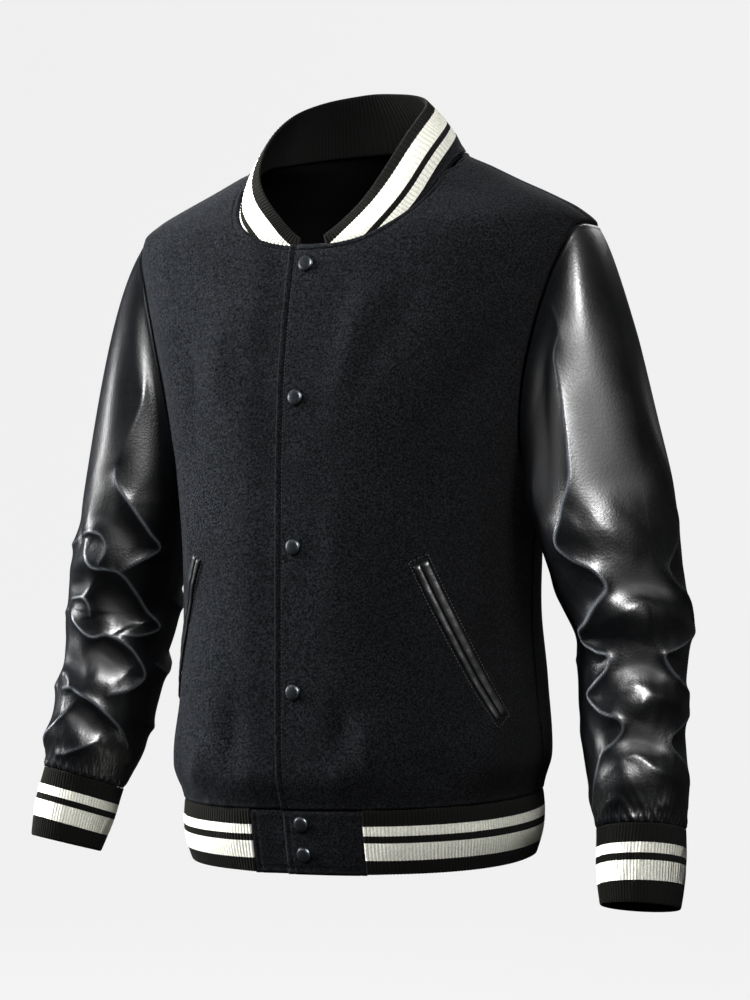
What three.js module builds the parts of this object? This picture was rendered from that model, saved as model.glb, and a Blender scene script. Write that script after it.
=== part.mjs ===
import * as THREE from "three";

// A varsity jacket as it hangs on a wearer who isn't there: wool body, leather sleeves, ribbed collar,
// cuffs and hem band. Sizes are in millimetres. +Z is up, the front faces -Y, the wearer's left is +X.
// The origin is the middle of the neck opening, level with the tops of the shoulder seams.

// Cloth
const WOOL_THICK = 2.4;
const LEATHER_THICK = 1.6;
const KNIT_THICK = 2.0;
const RIB_HEIGHT = 0.8;
const SEAM_INSET = 0.2; // each piece stops this far short of its seam
const LAP_DEPTH = 3.1; // the right front lies this far behind the left one
const LAP_FADE = { from: 24, to: 58 }; // how far from the middle the right front comes back up

// Body levels and edges
const HEM_SEAM_Z = -614;
const HEM_END_Z = -674;
const ARMPIT_Z = -302;
const TIP_Z = -73; // outer end of the shoulder seam
const NECK_DROP = 90;
const NECK_HALF = 108;
const NECK_BACK_RISE = 14;
const NECK_SQUARE = 2.5; // above 2 the neckline is squarer than an ellipse
const RING_SQUARE = 2.3;
const LEFT_EDGE_X = -20; // the left front laps over the right one to here
const RIGHT_EDGE_X = 8;
const HEM_SLANT = 0.068; // rise of the hem towards the wearer's left, per mm
const SLANT_TOP_Z = -330;

// Half width and depths of the body's rings, level by level
const BODY_RINGS = [
  { z: -680, side: 175, front: 108, back: 99 },
  { z: -645, side: 181, front: 115, back: 105 },
  { z: -614, side: 182, front: 121, back: 108 },
  { z: -578, side: 190, front: 132, back: 116 },
  { z: -510, side: 183, front: 134, back: 113 },
  { z: -440, side: 179, front: 134, back: 111 },
  { z: -390, side: 180, front: 134, back: 113 },
  { z: -300, side: 189, front: 133, back: 118 },
  { z: -275, side: 194, front: 132, back: 119 },
  { z: -220, side: 206, front: 129, back: 119 },
  { z: -175, side: 219, front: 123, back: 116 },
  { z: -122, side: 234, front: 113, back: 110 },
  { z: -90, side: 241, front: 105, back: 104 },
  { z: -72, side: 239, front: 97, back: 100 },
  { z: -58, side: 224, front: 84, back: 96 },
  { z: -44, side: 198, front: 70, back: 91 },
  { z: -30, side: 168, front: 57, back: 84 },
  { z: -15, side: 138, front: 42, back: 76 },
  { z: 0, side: 108, front: 30, back: 68 },
  { z: 14, side: 100, front: 24, back: 58 },
];

// Soft folds of the body cloth: where round the ring (degrees from the front), level, half length,
// half width, lean in mm sideways per mm of height, and height
const FOLDS_TOP_Z = -85;
const FOLD_RADIUS = 165; // turns angles round the body into millimetres
const FOLD_FADE = 50; // height over which the folds die out under FOLDS_TOP_Z
const HEM_FADE = 20;
const PLACKET_FLAT = { from: 18, to: 42 }; // the folds start this far from the middle of the front
const CHEST_HALF = 190;
const BODY_FOLDS = [
  { angle: 24, z: -190, half: 120, width: 27, lean: 0.5, height: 3.2 },
  { angle: 44, z: -230, half: 110, width: 28, lean: 0.6, height: -2.8 },
  { angle: 55, z: -345, half: 90, width: 19, lean: -0.35, height: 2.6 },
  { angle: 30, z: -470, half: 120, width: 26, lean: 0.1, height: -2.4 },
  { angle: 58, z: -560, half: 70, width: 20, lean: 0.25, height: 3.0 },
  { angle: 14, z: -575, half: 45, width: 11, lean: 0.1, height: 2.2 },
  { angle: 80, z: -470, half: 110, width: 22, lean: -0.15, height: 3.0 },
  { angle: -26, z: -210, half: 110, width: 20, lean: -0.5, height: 2.8 },
  { angle: -46, z: -330, half: 110, width: 22, lean: 0.3, height: -2.6 },
  { angle: -30, z: -520, half: 100, width: 22, lean: -0.1, height: 2.6 },
  { angle: -56, z: -570, half: 60, width: 18, lean: -0.2, height: 2.8 },
  { angle: -80, z: -440, half: 120, width: 22, lean: 0.15, height: 3.0 },
  { angle: 112, z: -500, half: 100, width: 24, lean: 0.2, height: 3.2 },
  { angle: 140, z: -540, half: 80, width: 24, lean: -0.1, height: 3.4 },
  { angle: 168, z: -560, half: 70, width: 22, lean: 0.15, height: 3.0 },
  { angle: 200, z: -550, half: 80, width: 24, lean: -0.1, height: 3.2 },
  { angle: 232, z: -500, half: 110, width: 24, lean: -0.2, height: 3.2 },
  { angle: 130, z: -280, half: 120, width: 24, lean: 0.5, height: -3.0 },
  { angle: 228, z: -270, half: 120, width: 24, lean: -0.5, height: -3.0 },
  { angle: 180, z: -330, half: 150, width: 30, lean: 0.05, height: 2.4 },
];

// Armhole: how far it reaches round the ring from the side, in degrees
const ARMHOLE_REACH = 28.5;
const ARMHOLE_BLUNT = 0.42;
const ARMHOLE_TAPER = 0.1;
const ARMHOLE_MIDDLE = new THREE.Vector3(226, 0, -190);
const SLEEVE_INSET = 0.35; // from the armhole's edge to the sleeve's

// The way the sleeve leaves the armhole at its top, half way down and at the armpit
const HEAD_LEAVE = {
  tip: { x: 0.62, z: -0.78 },
  half: { x: 0.8, z: -0.25, front: -0.55, back: 0.6 },
  armpit: { x: 0.34, z: -0.94 },
};

// Grid steps
const BODY_ROWS_LOW = 9;
const EVENING_PASSES = 6;
const ARMHOLE_STEPS = 12;
const NECK_STEPS = 6;
const SHOULDER_STEPS = 5;
const CAP_ROWS = 8;
const CAP_FULLNESS = 0.56; // how strongly the sleeve head keeps its direction out of the armhole
const CAP_PLAIN_ROWS = 4; // rows at the armhole over which the folds set in
const TUBE_ROWS = 22;

// Rings down each sleeve: centre, half width across, half depth, turn of the long side inwards
const SLEEVE_TOP_Z = -325;
const SLEEVE_END_Z = -618;
const CUFF_END_Z = -682;
const SLEEVE_RINGS = [
  { z: -325, x: 252, y: -6, across: 55, deep: 82, turn: 16 },
  { z: -384, x: 264, y: -3, across: 55, deep: 76, turn: 7 },
  { z: -444, x: 278, y: 1, across: 51, deep: 66, turn: -6 },
  { z: -509, x: 282, y: -12, across: 47, deep: 58, turn: -9 },
  { z: -584, x: 295, y: -28, across: 44, deep: 55, turn: -8 },
  { z: -618, x: 301, y: -38, across: 39.5, deep: 46, turn: -4 },
  { z: -650, x: 305, y: -49, across: 38, deep: 43, turn: 0 },
  { z: -690, x: 309, y: -62, across: 34.5, deep: 38, turn: 0 },
];

// Folds across a sleeve: level of the apex, where round the sleeve (degrees from the outer side to
// the front), fall of its two ends, half width, height, and how far round it reaches. A shallower
// trough runs above each fold.
const TROUGH = { depth: 0.45, above: 1.6 }; // shares of the fold's height and half width
const SLEEVE_FADE = 16; // height over which the folds die out above the cuff
const LEFT_SLEEVE_FOLDS = [
  { z: -352, angle: 70, fall: 24, width: 13, height: 3.6, reach: 95 },
  { z: -398, angle: 200, fall: 30, width: 13, height: 4.0, reach: 110 },
  { z: -424, angle: 52, fall: 30, width: 12, height: 6.0, reach: 100 },
  { z: -462, angle: 215, fall: 26, width: 12, height: 4.4, reach: 110 },
  { z: -500, angle: 48, fall: 26, width: 12, height: 6.4, reach: 105 },
  { z: -530, angle: 220, fall: 20, width: 11, height: 4.4, reach: 110 },
  { z: -560, angle: 52, fall: 30, width: 12, height: 6.0, reach: 110 },
  { z: -592, angle: 205, fall: 14, width: 10, height: 4.2, reach: 120 },
];
const RIGHT_SLEEVE_FOLDS = [
  { z: -350, angle: 112, fall: 28, width: 13, height: 4.4, reach: 95 },
  { z: -392, angle: 92, fall: 30, width: 12, height: 6.2, reach: 100 },
  { z: -424, angle: 262, fall: 26, width: 13, height: 4.0, reach: 100 },
  { z: -452, angle: 96, fall: 34, width: 13, height: 6.6, reach: 105 },
  { z: -494, angle: 268, fall: 24, width: 12, height: 4.4, reach: 105 },
  { z: -512, angle: 92, fall: 32, width: 12, height: 6.4, reach: 110 },
  { z: -566, angle: 90, fall: 28, width: 12, height: 5.6, reach: 110 },
  { z: -590, angle: 265, fall: 14, width: 10, height: 4.2, reach: 120 },
];

// Collar: where its free edge runs, by the angle round the neck (0 at the front)
const COLLAR_RIM = [
  { angle: 0, x: 8, y: -104.5, z: -86.5 },
  { angle: 12, x: 20, y: -102, z: -78.5 },
  { angle: 32, x: 36, y: -96, z: -64 },
  { angle: 56, x: 58, y: -81, z: -38 },
  { angle: 74, x: 72, y: -58, z: -8 },
  { angle: 90, x: 77, y: -18, z: 28 },
  { angle: 112, x: 74, y: 18, z: 51 },
  { angle: 145, x: 48, y: 44, z: 66 },
  { angle: 180, x: 0, y: 52, z: 72 },
];
const COLLAR_LEAN_X = -13; // the free edge sits a little to the wearer's right
const NECK_MIDDLE = new THREE.Vector3(0, -20, -10);
const COLLAR_GAP = RIB_HEIGHT + 0.35; // from the neckline to the foot of the collar
const COLLAR_LIFT = 0.7;
const COLLAR_BOW = 0.09; // how far the collar rounds outward, as a share of its height
const COLLAR_LEFT_END = 6; // degrees
const COLLAR_RIGHT_END = -3.2;
const COLLAR_RIBS = 64;
const CUFF_RIBS = 30;
const CUFF_BOW = 1.2;
const CUFF_SINK = 1; // the cuff's ends lie this far inside the sleeve's line
const HEM_RIBS = 120;

// Hem tabs
const TAB_LEFT_X = 61; // outer side of the left tab
const TAB_RIGHT_X = -57;
const BAND_BULGE = 3;
const BAND_SINK = 0.35; // share of the bulge by which the band's edges lie inside the body's line
const BAND_END = 0.03; // share of the band over which the bulge dies out beside the tabs

// Snaps and pockets
const SNAP_RADIUS = 7.8;
const SNAP_HEIGHT = 3.6;
const PLACKET_SNAP_Z = [-109, -233, -370, -503];
const TAB_SNAP_Z = [-626, -655];
const PIECE_LIFT = 0.5; // air under a piece that lies on a panel
const POCKET_TOP = { x: 117, z: -383 };
const POCKET_END = { x: 173, z: -524 };
const POCKET_STEPS = 9;
const WELT_WIDTH = 6.2;
const WELT_THICK = 1.8;
const WELT_GAP = 1.4;

const degrees = (a) => (a * Math.PI) / 180;
const mix = (a, b, t) => a + (b - a) * t;
const ease = (a, b, v) => THREE.MathUtils.smoothstep(v, Math.min(a, b), Math.max(a, b));
const steps = (n) => Array.from({ length: n + 1 }, (_, i) => i / n);

// The smooth curve through one column of a table, without overshoot.
function column(table, by, name, at) {
  const up = table[0][by] < table[table.length - 1][by];
  const rows = up ? table : [...table].reverse();
  const last = rows.length - 1;
  const v = Math.min(Math.max(at, rows[0][by]), rows[last][by]);
  let i = 0;
  while (i < last - 1 && v > rows[i + 1][by]) i++;
  const slope = (j) => (rows[j + 1][name] - rows[j][name]) / (rows[j + 1][by] - rows[j][by]);
  const tangent = (j) => {
    if (j === 0) return slope(0);
    if (j === last) return slope(last - 1);
    const a = slope(j - 1),
      b = slope(j);
    return a * b <= 0 ? 0 : (2 * a * b) / (a + b);
  };
  const h = rows[i + 1][by] - rows[i][by],
    t = (v - rows[i][by]) / h;
  const t2 = t * t,
    t3 = t2 * t;
  return (
    (2 * t3 - 3 * t2 + 1) * rows[i][name] +
    (t3 - 2 * t2 + t) * h * tangent(i) +
    (3 * t2 - 2 * t3) * rows[i + 1][name] +
    (t3 - t2) * h * tangent(i + 1)
  );
}

// The body's ring at an angle (radians from the front) and a level, and the direction out of it.
function bodyRing(angle, z) {
  const side = column(BODY_RINGS, "z", "side", z);
  const s = Math.sin(angle),
    c = Math.cos(angle);
  const depth = column(BODY_RINGS, "z", c > 0 ? "front" : "back", z);
  const round = (Math.abs(s) ** RING_SQUARE + Math.abs(c) ** RING_SQUARE) ** (1 / RING_SQUARE);
  const point = new THREE.Vector3((side * s) / round, (-depth * c) / round, z);
  const out = new THREE.Vector3(point.x / side ** 2, point.y / depth ** 2, 0).normalize();
  return { point, out };
}

// Height of the body's folds at an angle and a level.
function bodyFold(angle, z) {
  let sum = 0;
  for (const f of BODY_FOLDS) {
    let turn = angle - degrees(f.angle);
    turn = Math.atan2(Math.sin(turn), Math.cos(turn));
    const up = z - f.z;
    if (Math.abs(up) > f.half) continue;
    const across = (turn * FOLD_RADIUS - f.lean * up) / f.width;
    sum += f.height * Math.exp(-across * across) * Math.cos((up / f.half) * (Math.PI / 2)) ** 2;
  }
  const fromMiddle = Math.cos(angle) < 0 ? PLACKET_FLAT.to : Math.abs(Math.sin(angle)) * CHEST_HALF;
  const nearPlacket = ease(PLACKET_FLAT.from, PLACKET_FLAT.to, fromMiddle);
  const nearHem = ease(HEM_SEAM_Z, HEM_SEAM_Z + HEM_FADE, z);
  return sum * nearPlacket * nearHem * (1 - ease(FOLDS_TOP_Z - FOLD_FADE, FOLDS_TOP_Z, z));
}

// How much of the lap's depth the right front has at a sideways place.
const lapShare = (x) => 1 - ease(LAP_FADE.from, LAP_FADE.to, -x);

// A point of the body's outer face. The lap is how far the right front sinks behind the left one.
function bodyPoint(angle, z, lap = 0) {
  const { point, out } = bodyRing(angle, z);
  const sink = Math.cos(angle) > 0 ? lap * lapShare(point.x) : 0;
  const slant = HEM_SLANT * (1 - ease(HEM_SEAM_Z, SLANT_TOP_Z, z));
  point.z += slant * point.x;
  return point.addScaledVector(out, bodyFold(angle, z) - sink);
}

function bodyNormal(angle, z, lap = 0) {
  const da = 0.004,
    dz = 0.5;
  const round = bodyPoint(angle + da, z, lap).sub(bodyPoint(angle - da, z, lap));
  const up = bodyPoint(angle, z + dz, lap).sub(bodyPoint(angle, z - dz, lap));
  return round.cross(up).normalize();
}

// Angle round the ring of the point at a sideways place and level, in front or behind.
function angleAt(x, z, behind = false) {
  const side = column(BODY_RINGS, "z", "side", z);
  const share = Math.min(Math.abs(x) / side, 1) ** RING_SQUARE;
  const a = Math.atan2(share ** (1 / RING_SQUARE), (1 - share) ** (1 / RING_SQUARE));
  return Math.sign(x) * (behind ? Math.PI - a : a);
}

// The neckline, by the angle round the neck from the front (0) over the side (90) to the back (180).
function neckline(turn) {
  const s = Math.abs(Math.sin(degrees(turn))) ** (2 / NECK_SQUARE),
    c = Math.abs(Math.cos(degrees(turn)));
  const behind = Math.abs(turn) > 90;
  const z = behind ? NECK_BACK_RISE * c ** 1.3 : -NECK_DROP * c ** (2 / NECK_SQUARE);
  const x = Math.sign(turn) * NECK_HALF * s;
  const angle = Math.abs(turn) === 180 ? Math.PI : angleAt(x, z, behind);
  return { angle, z };
}

// The armhole, by the angle from the shoulder tip (0) down to the armpit (180).
function armhole(turn, behind) {
  const c = Math.cos(degrees(turn));
  const reach = ARMHOLE_REACH * Math.max(Math.sin(degrees(turn)), 0) ** ARMHOLE_BLUNT;
  const away = degrees(reach * (1 - ARMHOLE_TAPER * (1 - c)));
  return {
    angle: Math.PI / 2 + (behind ? away : -away),
    z: mix(ARMPIT_Z, TIP_Z, (1 + c) / 2),
  };
}

// Fills a patch between its four edges, which are lists of {angle, z}, and returns rows of {angle, z}.
function fillPatch(bottom, top, start, end) {
  const at = (p) => bodyRing(p.angle, p.z).point;
  const n = bottom.length - 1,
    m = start.length - 1;
  const rows = [];
  for (let j = 0; j <= m; j++) {
    const row = [];
    for (let i = 0; i <= n; i++) {
      if (i === 0 || i === n || j === 0 || j === m) {
        row.push(i === 0 ? start[j] : i === n ? end[j] : j === 0 ? bottom[i] : top[i]);
        continue;
      }
      const u = i / n,
        v = j / m;
      const p = at(bottom[i]).multiplyScalar(1 - v).addScaledVector(at(top[i]), v);
      p.addScaledVector(at(start[j]), 1 - u).addScaledVector(at(end[j]), u);
      p.addScaledVector(at(bottom[0]), -(1 - u) * (1 - v)).addScaledVector(at(bottom[n]), -u * (1 - v));
      p.addScaledVector(at(top[0]), -(1 - u) * v).addScaledVector(at(top[n]), -u * v);
      row.push(ringPlace(p));
    }
    rows.push(row);
  }
  return evenOut(rows);
}

// Moves the inner points of a patch towards the middle of their neighbours, along the rings.
function evenOut(rows) {
  for (let pass = 0; pass < EVENING_PASSES; pass++)
    for (let j = 1; j < rows.length - 1; j++)
      for (let i = 1; i < rows[0].length - 1; i++) {
        const near = [rows[j - 1][i], rows[j + 1][i], rows[j][i - 1], rows[j][i + 1]];
        const p = middle(near.map((q) => bodyRing(q.angle, q.z).point));
        rows[j][i] = ringPlace(p);
      }
  return rows;
}

const middle = (list) => list.reduce((a, p) => a.add(p), new THREE.Vector3()).divideScalar(list.length);

// The ring angle and level of a point near the body.
function ringPlace(p) {
  const side = column(BODY_RINGS, "z", "side", p.z);
  const depth = column(BODY_RINGS, "z", p.y < 0 ? "front" : "back", p.z);
  return { angle: Math.atan2(p.x / side, -p.y / depth), z: p.z };
}

// The angle round the neck at which a front's edge meets the neckline.
function neckStart(edgeX) {
  const turn = Math.asin((Math.abs(edgeX) / NECK_HALF) ** (NECK_SQUARE / 2));
  return THREE.MathUtils.radToDeg(Math.sign(edgeX) * turn);
}

// One half of a body panel from the middle of the body to the side, for the wearer's left.
function halfPanel(behind, edgeX) {
  const flip = (a) => (behind ? Math.PI - a : a);
  const edge = (z) => flip(Math.sign(edgeX) * angleAt(Math.abs(edgeX), z));
  const first = behind ? 180 : neckStart(edgeX);
  const neckTop = neckline(first).z;
  const start = [],
    end = [];
  for (const t of steps(BODY_ROWS_LOW)) {
    const z = mix(HEM_SEAM_Z, ARMPIT_Z, t);
    start.push({ angle: edge(z), z });
    end.push({ angle: Math.PI / 2, z });
  }
  for (const t of steps(ARMHOLE_STEPS).slice(1)) {
    const z = mix(ARMPIT_Z, neckTop, t);
    start.push({ angle: edge(z), z });
    end.push(armhole(180 * (1 - t), behind));
  }
  const top = steps(NECK_STEPS).map((t) => neckline(mix(first, 90, t)));
  for (const t of steps(SHOULDER_STEPS).slice(1))
    top.push({ angle: Math.PI / 2, z: mix(0, TIP_Z, t) });
  const bottom = top.map((_, i) => ({
    angle: mix(edge(HEM_SEAM_Z), Math.PI / 2, i / (top.length - 1)),
    z: HEM_SEAM_Z,
  }));
  return fillPatch(bottom, top, start, end);
}

// Outward normals of a grid of points; round says that the last column meets the first.
function gridNormals(rows, round) {
  const m = rows.length - 1,
    n = rows[0].length;
  return rows.map((row, j) =>
    row.map((_, i) => {
      const before = round ? (i + n - 1) % n : Math.max(i - 1, 0),
        after = round ? (i + 1) % n : Math.min(i + 1, n - 1);
      const along = row[after].clone().sub(row[before]);
      const up = rows[Math.min(j + 1, m)][i].clone().sub(rows[Math.max(j - 1, 0)][i]);
      return along.cross(up).normalize();
    }),
  );
}

// Pulls the four borders of an open grid back from the seams.
function inset(rows, by, sides = true) {
  const m = rows.length - 1,
    n = rows[0].length - 1;
  const out = rows.map((row) => row.map((p) => p.clone()));
  const pull = (j, i, toJ, toI) =>
    out[j][i].addScaledVector(rows[toJ][toI].clone().sub(rows[j][i]).normalize(), by);
  for (let i = 0; i <= n; i++) {
    pull(0, i, 1, i);
    pull(m, i, m - 1, i);
  }
  if (sides)
    for (let j = 0; j <= m; j++) {
      pull(j, 0, j, 1);
      pull(j, n, j, n - 1);
    }
  return out;
}

// Whether a cell of a grid is cut from its first corner to the opposite one, the shorter way across.
function splitsUp(rows, i, next, j) {
  return rows[j][i].distanceTo(rows[j + 1][next]) <= rows[j][next].distanceTo(rows[j + 1][i]);
}

// A closed solid between an outer grid and an inner one. The outer grid may have a whole number of
// columns for each column of the inner one. Both are lists of rows, and round closes them sideways.
function wall(outer, inner, round = false) {
  const points = [],
    faces = [];
  const put = (rows) => rows.map((row) => row.map((p) => points.push(p.x, p.y, p.z) / 3 - 1));
  const o = put(outer),
    q = put(inner);
  const m = o.length - 1,
    spans = round ? q[0].length : q[0].length - 1;
  const each = (o[0].length - (round ? 0 : 1)) / spans;
  const quad = (a, b, c, d) => faces.push(a, b, c, a, c, d);
  const at = (row, i) => row[i % row.length];
  const skin = (grid, rows, i, j) => {
    const next = (i + 1) % rows[0].length;
    const corners = [grid[j][i], grid[j][next], grid[j + 1][next], grid[j + 1][i]];
    if (splitsUp(rows, i, next, j)) quad(...corners);
    else quad(corners[1], corners[2], corners[3], corners[0]);
  };
  for (let j = 0; j < m; j++) {
    for (let i = 0; i < spans * each; i++) skin(o, outer, i, j);
    for (let i = 0; i < spans; i++) {
      const next = (i + 1) % inner[0].length;
      const corners = [q[j][i], q[j + 1][i], q[j + 1][next], q[j][next]];
      if (splitsUp(inner, i, next, j)) quad(...corners);
      else quad(corners[1], corners[2], corners[3], corners[0]);
    }
  }
  for (let i = 0; i < spans; i++) {
    for (let k = 0; k < each; k++) {
      const a = i * each + k;
      faces.push(at(q[0], i), at(o[0], a + 1), at(o[0], a));
      faces.push(at(q[m], i), at(o[m], a), at(o[m], a + 1));
    }
    faces.push(at(q[0], i), at(q[0], i + 1), at(o[0], (i + 1) * each));
    faces.push(at(q[m], i), at(o[m], (i + 1) * each), at(q[m], i + 1));
  }
  if (!round)
    for (let j = 0; j < m; j++) {
      const l = o[0].length - 1,
        k = q[0].length - 1;
      quad(o[j][0], o[j + 1][0], q[j + 1][0], q[j][0]);
      quad(o[j][l], q[j][k], q[j + 1][k], o[j + 1][l]);
    }
  return solid(points, faces);
}

// Builds the geometry and turns its faces outward.
function solid(points, faces) {
  let volume = 0;
  const p = (i) => new THREE.Vector3(points[3 * i], points[3 * i + 1], points[3 * i + 2]);
  for (let f = 0; f < faces.length; f += 3)
    volume += p(faces[f]).dot(p(faces[f + 1]).cross(p(faces[f + 2])));
  if (volume < 0)
    for (let f = 0; f < faces.length; f += 3) [faces[f + 1], faces[f + 2]] = [faces[f + 2], faces[f + 1]];
  const geometry = new THREE.BufferGeometry();
  geometry.setAttribute("position", new THREE.Float32BufferAttribute(points, 3));
  geometry.setIndex(faces);
  geometry.computeVertexNormals();
  return geometry;
}

const offset = (rows, normals, by) =>
  rows.map((row, j) => row.map((p, i) => p.clone().addScaledVector(normals[j][i], by)));

const jacket = new THREE.Group();
jacket.name = "varsity_jacket";

function add(name, geometry, color, roughness, metalness = 0) {
  const mesh = new THREE.Mesh(geometry, new THREE.MeshStandardMaterial({ color, roughness, metalness }));
  mesh.name = name;
  jacket.add(mesh);
  return mesh;
}

const WOOL = ["#1f2124", 0.95];
const LEATHER = ["#131416", 0.32];
const KNIT = ["#191915", 0.9];
const SNAP = ["#2b2d30", 0.35, 0.7];

// A body panel from rows of {angle, z}.
function bodyPanel(rows, lap = 0) {
  const points = rows.map((row) => row.map((p) => bodyPoint(p.angle, p.z, lap)));
  const normals = rows.map((row) => row.map((p) => bodyNormal(p.angle, p.z, lap)));
  const outer = inset(points, SEAM_INSET);
  return { outer, normals, geometry: wall(outer, offset(outer, normals, -WOOL_THICK)) };
}

const mirror = (rows) => rows.map((row) => [...row].reverse().map((p) => ({ angle: -p.angle, z: p.z })));

const leftFront = bodyPanel(halfPanel(false, LEFT_EDGE_X));
const rightFront = bodyPanel(mirror(halfPanel(false, -RIGHT_EDGE_X)), LAP_DEPTH);
const back = bodyPanel(
  halfPanel(true, 0).map((row) => [...[...row].reverse().slice(0, -1), ...mirror([row])[0].reverse()]),
);

add("front_left", leftFront.geometry, ...WOOL);
add("front_right", rightFront.geometry, ...WOOL);
add("back", back.geometry, ...WOOL);

// Sleeves
const sleeveValue = (name, z) => column(SLEEVE_RINGS, "z", name, z);
const sleeveCentre = (z) => new THREE.Vector3(sleeveValue("x", z), sleeveValue("y", z), z);

// A point of the sleeve's or cuff's outer face for the wearer's left; the angle runs from the outer
// side (0) over the front (90) to the inner side (180).
function sleevePoint(angle, z, lift = 0) {
  const down = sleeveCentre(z - 4).sub(sleeveCentre(Math.min(z + 4, SLEEVE_TOP_Z))).normalize();
  const out = new THREE.Vector3(1, 0, 0);
  out.addScaledVector(down, -out.dot(down)).normalize();
  const front = new THREE.Vector3().crossVectors(out, down).normalize();
  if (front.y > 0) front.negate();
  const turn = degrees(sleeveValue("turn", z));
  const long = front.clone().multiplyScalar(Math.cos(turn)).addScaledVector(out, -Math.sin(turn));
  const wide = out.clone().multiplyScalar(Math.cos(turn)).addScaledVector(front, Math.sin(turn));
  const p = sleeveCentre(z);
  p.addScaledVector(wide, (sleeveValue("across", z) + lift) * Math.cos(angle));
  return p.addScaledVector(long, (sleeveValue("deep", z) + lift) * Math.sin(angle));
}

// Height of a sleeve's folds at an angle and a level.
function sleeveFold(folds, angle, z) {
  let sum = 0;
  for (const f of folds) {
    let turn = angle - degrees(f.angle);
    turn = Math.atan2(Math.sin(turn), Math.cos(turn));
    const reach = degrees(f.reach);
    if (Math.abs(turn) > reach) continue;
    const crest = f.z - f.fall * (1 - Math.cos(turn));
    const across = (z - crest) / f.width;
    const crossing = Math.exp(-across * across) - TROUGH.depth * Math.exp(-((across - TROUGH.above) ** 2));
    sum += f.height * crossing * Math.cos((turn / reach) * (Math.PI / 2)) ** 2;
  }
  return sum * ease(SLEEVE_END_Z, SLEEVE_END_Z + SLEEVE_FADE, z);
}

const around = 2 * ARMHOLE_STEPS;

// Points of the left sleeve's outer face, from the armhole down to the cuff.
function sleeveRows(folds) {
  const rows = [];
  const columns = Array.from({ length: around }, (_, k) => {
    const behind = k > ARMHOLE_STEPS;
    const turn = (180 * (behind ? around - k : k)) / ARMHOLE_STEPS;
    const place = armhole(turn, behind);
    const start = bodyPoint(place.angle, place.z);
    start.addScaledVector(ARMHOLE_MIDDLE.clone().sub(start).normalize(), SLEEVE_INSET);
    const c = Math.cos(degrees(turn)),
      { half } = HEAD_LEAVE,
      end = c > 0 ? HEAD_LEAVE.tip : HEAD_LEAVE.armpit;
    const leave = new THREE.Vector3(
      mix(half.x, end.x, Math.abs(c)),
      (behind ? half.back : half.front) * Math.sin(degrees(turn)),
      mix(half.z, end.z, Math.abs(c)),
    ).normalize();
    return { start, leave, angle: (2 * Math.PI * k) / around };
  });
  for (let j = 0; j <= CAP_ROWS; j++)
    rows.push(
      columns.map(({ start, leave, angle }) => {
        const t = j / CAP_ROWS,
          end = sleevePoint(angle, SLEEVE_TOP_Z);
        const far = end.distanceTo(start);
        const go = sleevePoint(angle, SLEEVE_TOP_Z - 4).sub(end).normalize();
        const t2 = t * t,
          t3 = t2 * t;
        return start.clone().multiplyScalar(2 * t3 - 3 * t2 + 1)
          .addScaledVector(leave, far * CAP_FULLNESS * (t3 - 2 * t2 + t))
          .addScaledVector(end, 3 * t2 - 2 * t3)
          .addScaledVector(go, far * CAP_FULLNESS * (t3 - t2));
      }),
    );
  for (let j = 1; j <= TUBE_ROWS; j++) {
    const z = mix(SLEEVE_TOP_Z, SLEEVE_END_Z, j / TUBE_ROWS);
    rows.push(columns.map(({ angle }) => sleevePoint(angle, z)));
  }
  const normals = gridNormals(rows, true);
  return rows.map((row, j) =>
    row.map((p, i) => {
      const lift = sleeveFold(folds, columns[i].angle, p.z) * ease(0, CAP_PLAIN_ROWS, j);
      return p.clone().addScaledVector(normals[j][i], lift);
    }),
  );
}

const flipX = (rows) => rows.map((row) => row.map((p) => new THREE.Vector3(-p.x, p.y, p.z)));

function addSleeve(name, folds, left) {
  const points = sleeveRows(folds);
  const outer = points.map((row) => row.map((p) => p.clone()));
  const last = outer.length - 1;
  outer[last].forEach((p, i) => {
    const up = points[last - 1][i].clone().sub(p).normalize();
    p.addScaledVector(up, SEAM_INSET);
  });
  const inner = offset(outer, gridNormals(outer, true), -LEATHER_THICK);
  add(name, wall(left ? outer : flipX(outer), left ? inner : flipX(inner), true), ...LEATHER);
}

addSleeve("sleeve_left", LEFT_SLEEVE_FOLDS, true);
addSleeve("sleeve_right", RIGHT_SLEEVE_FOLDS, false);

// Ribbed knit: an outer grid with a rib on every other column over a plain inner grid with a
// quarter of the columns.
function ribbed(point, ribs, levels, round) {
  const count = ribs * 2;
  const columns = Array.from({ length: count + (round ? 0 : 1) }, (_, i) => i / count);
  const base = levels.map((v) => columns.map((u) => point(u, v)));
  const normals = gridNormals(base, round);
  const facing = base[0][0].clone().sub(round ? middle(base[0]) : new THREE.Vector3(0, 0, base[0][0].z));
  const out = facing.dot(normals[0][0]) < 0 ? -1 : 1;
  const outer = base.map((row, j) =>
    row.map((p, i) => p.clone().addScaledVector(normals[j][i], out * (i % 2 ? RIB_HEIGHT : 0))),
  );
  const inner = offset(base, normals, -out * KNIT_THICK).map((row) => row.filter((_, i) => i % 4 === 0));
  return wall(outer, inner, round);
}

// Cuffs
for (const [name, left] of [["cuff_left", true], ["cuff_right", false]]) {
  const top = SLEEVE_END_Z - SEAM_INSET;
  const point = (u, v) => {
    const lift = CUFF_BOW * Math.sin(Math.PI * v) - CUFF_SINK;
    const p = sleevePoint(2 * Math.PI * u, mix(top, CUFF_END_Z, v), lift);
    return left ? p : new THREE.Vector3(-p.x, p.y, p.z);
  };
  add(name, ribbed(point, CUFF_RIBS, [0, 0.5, 1], true), ...KNIT);
}

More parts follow.
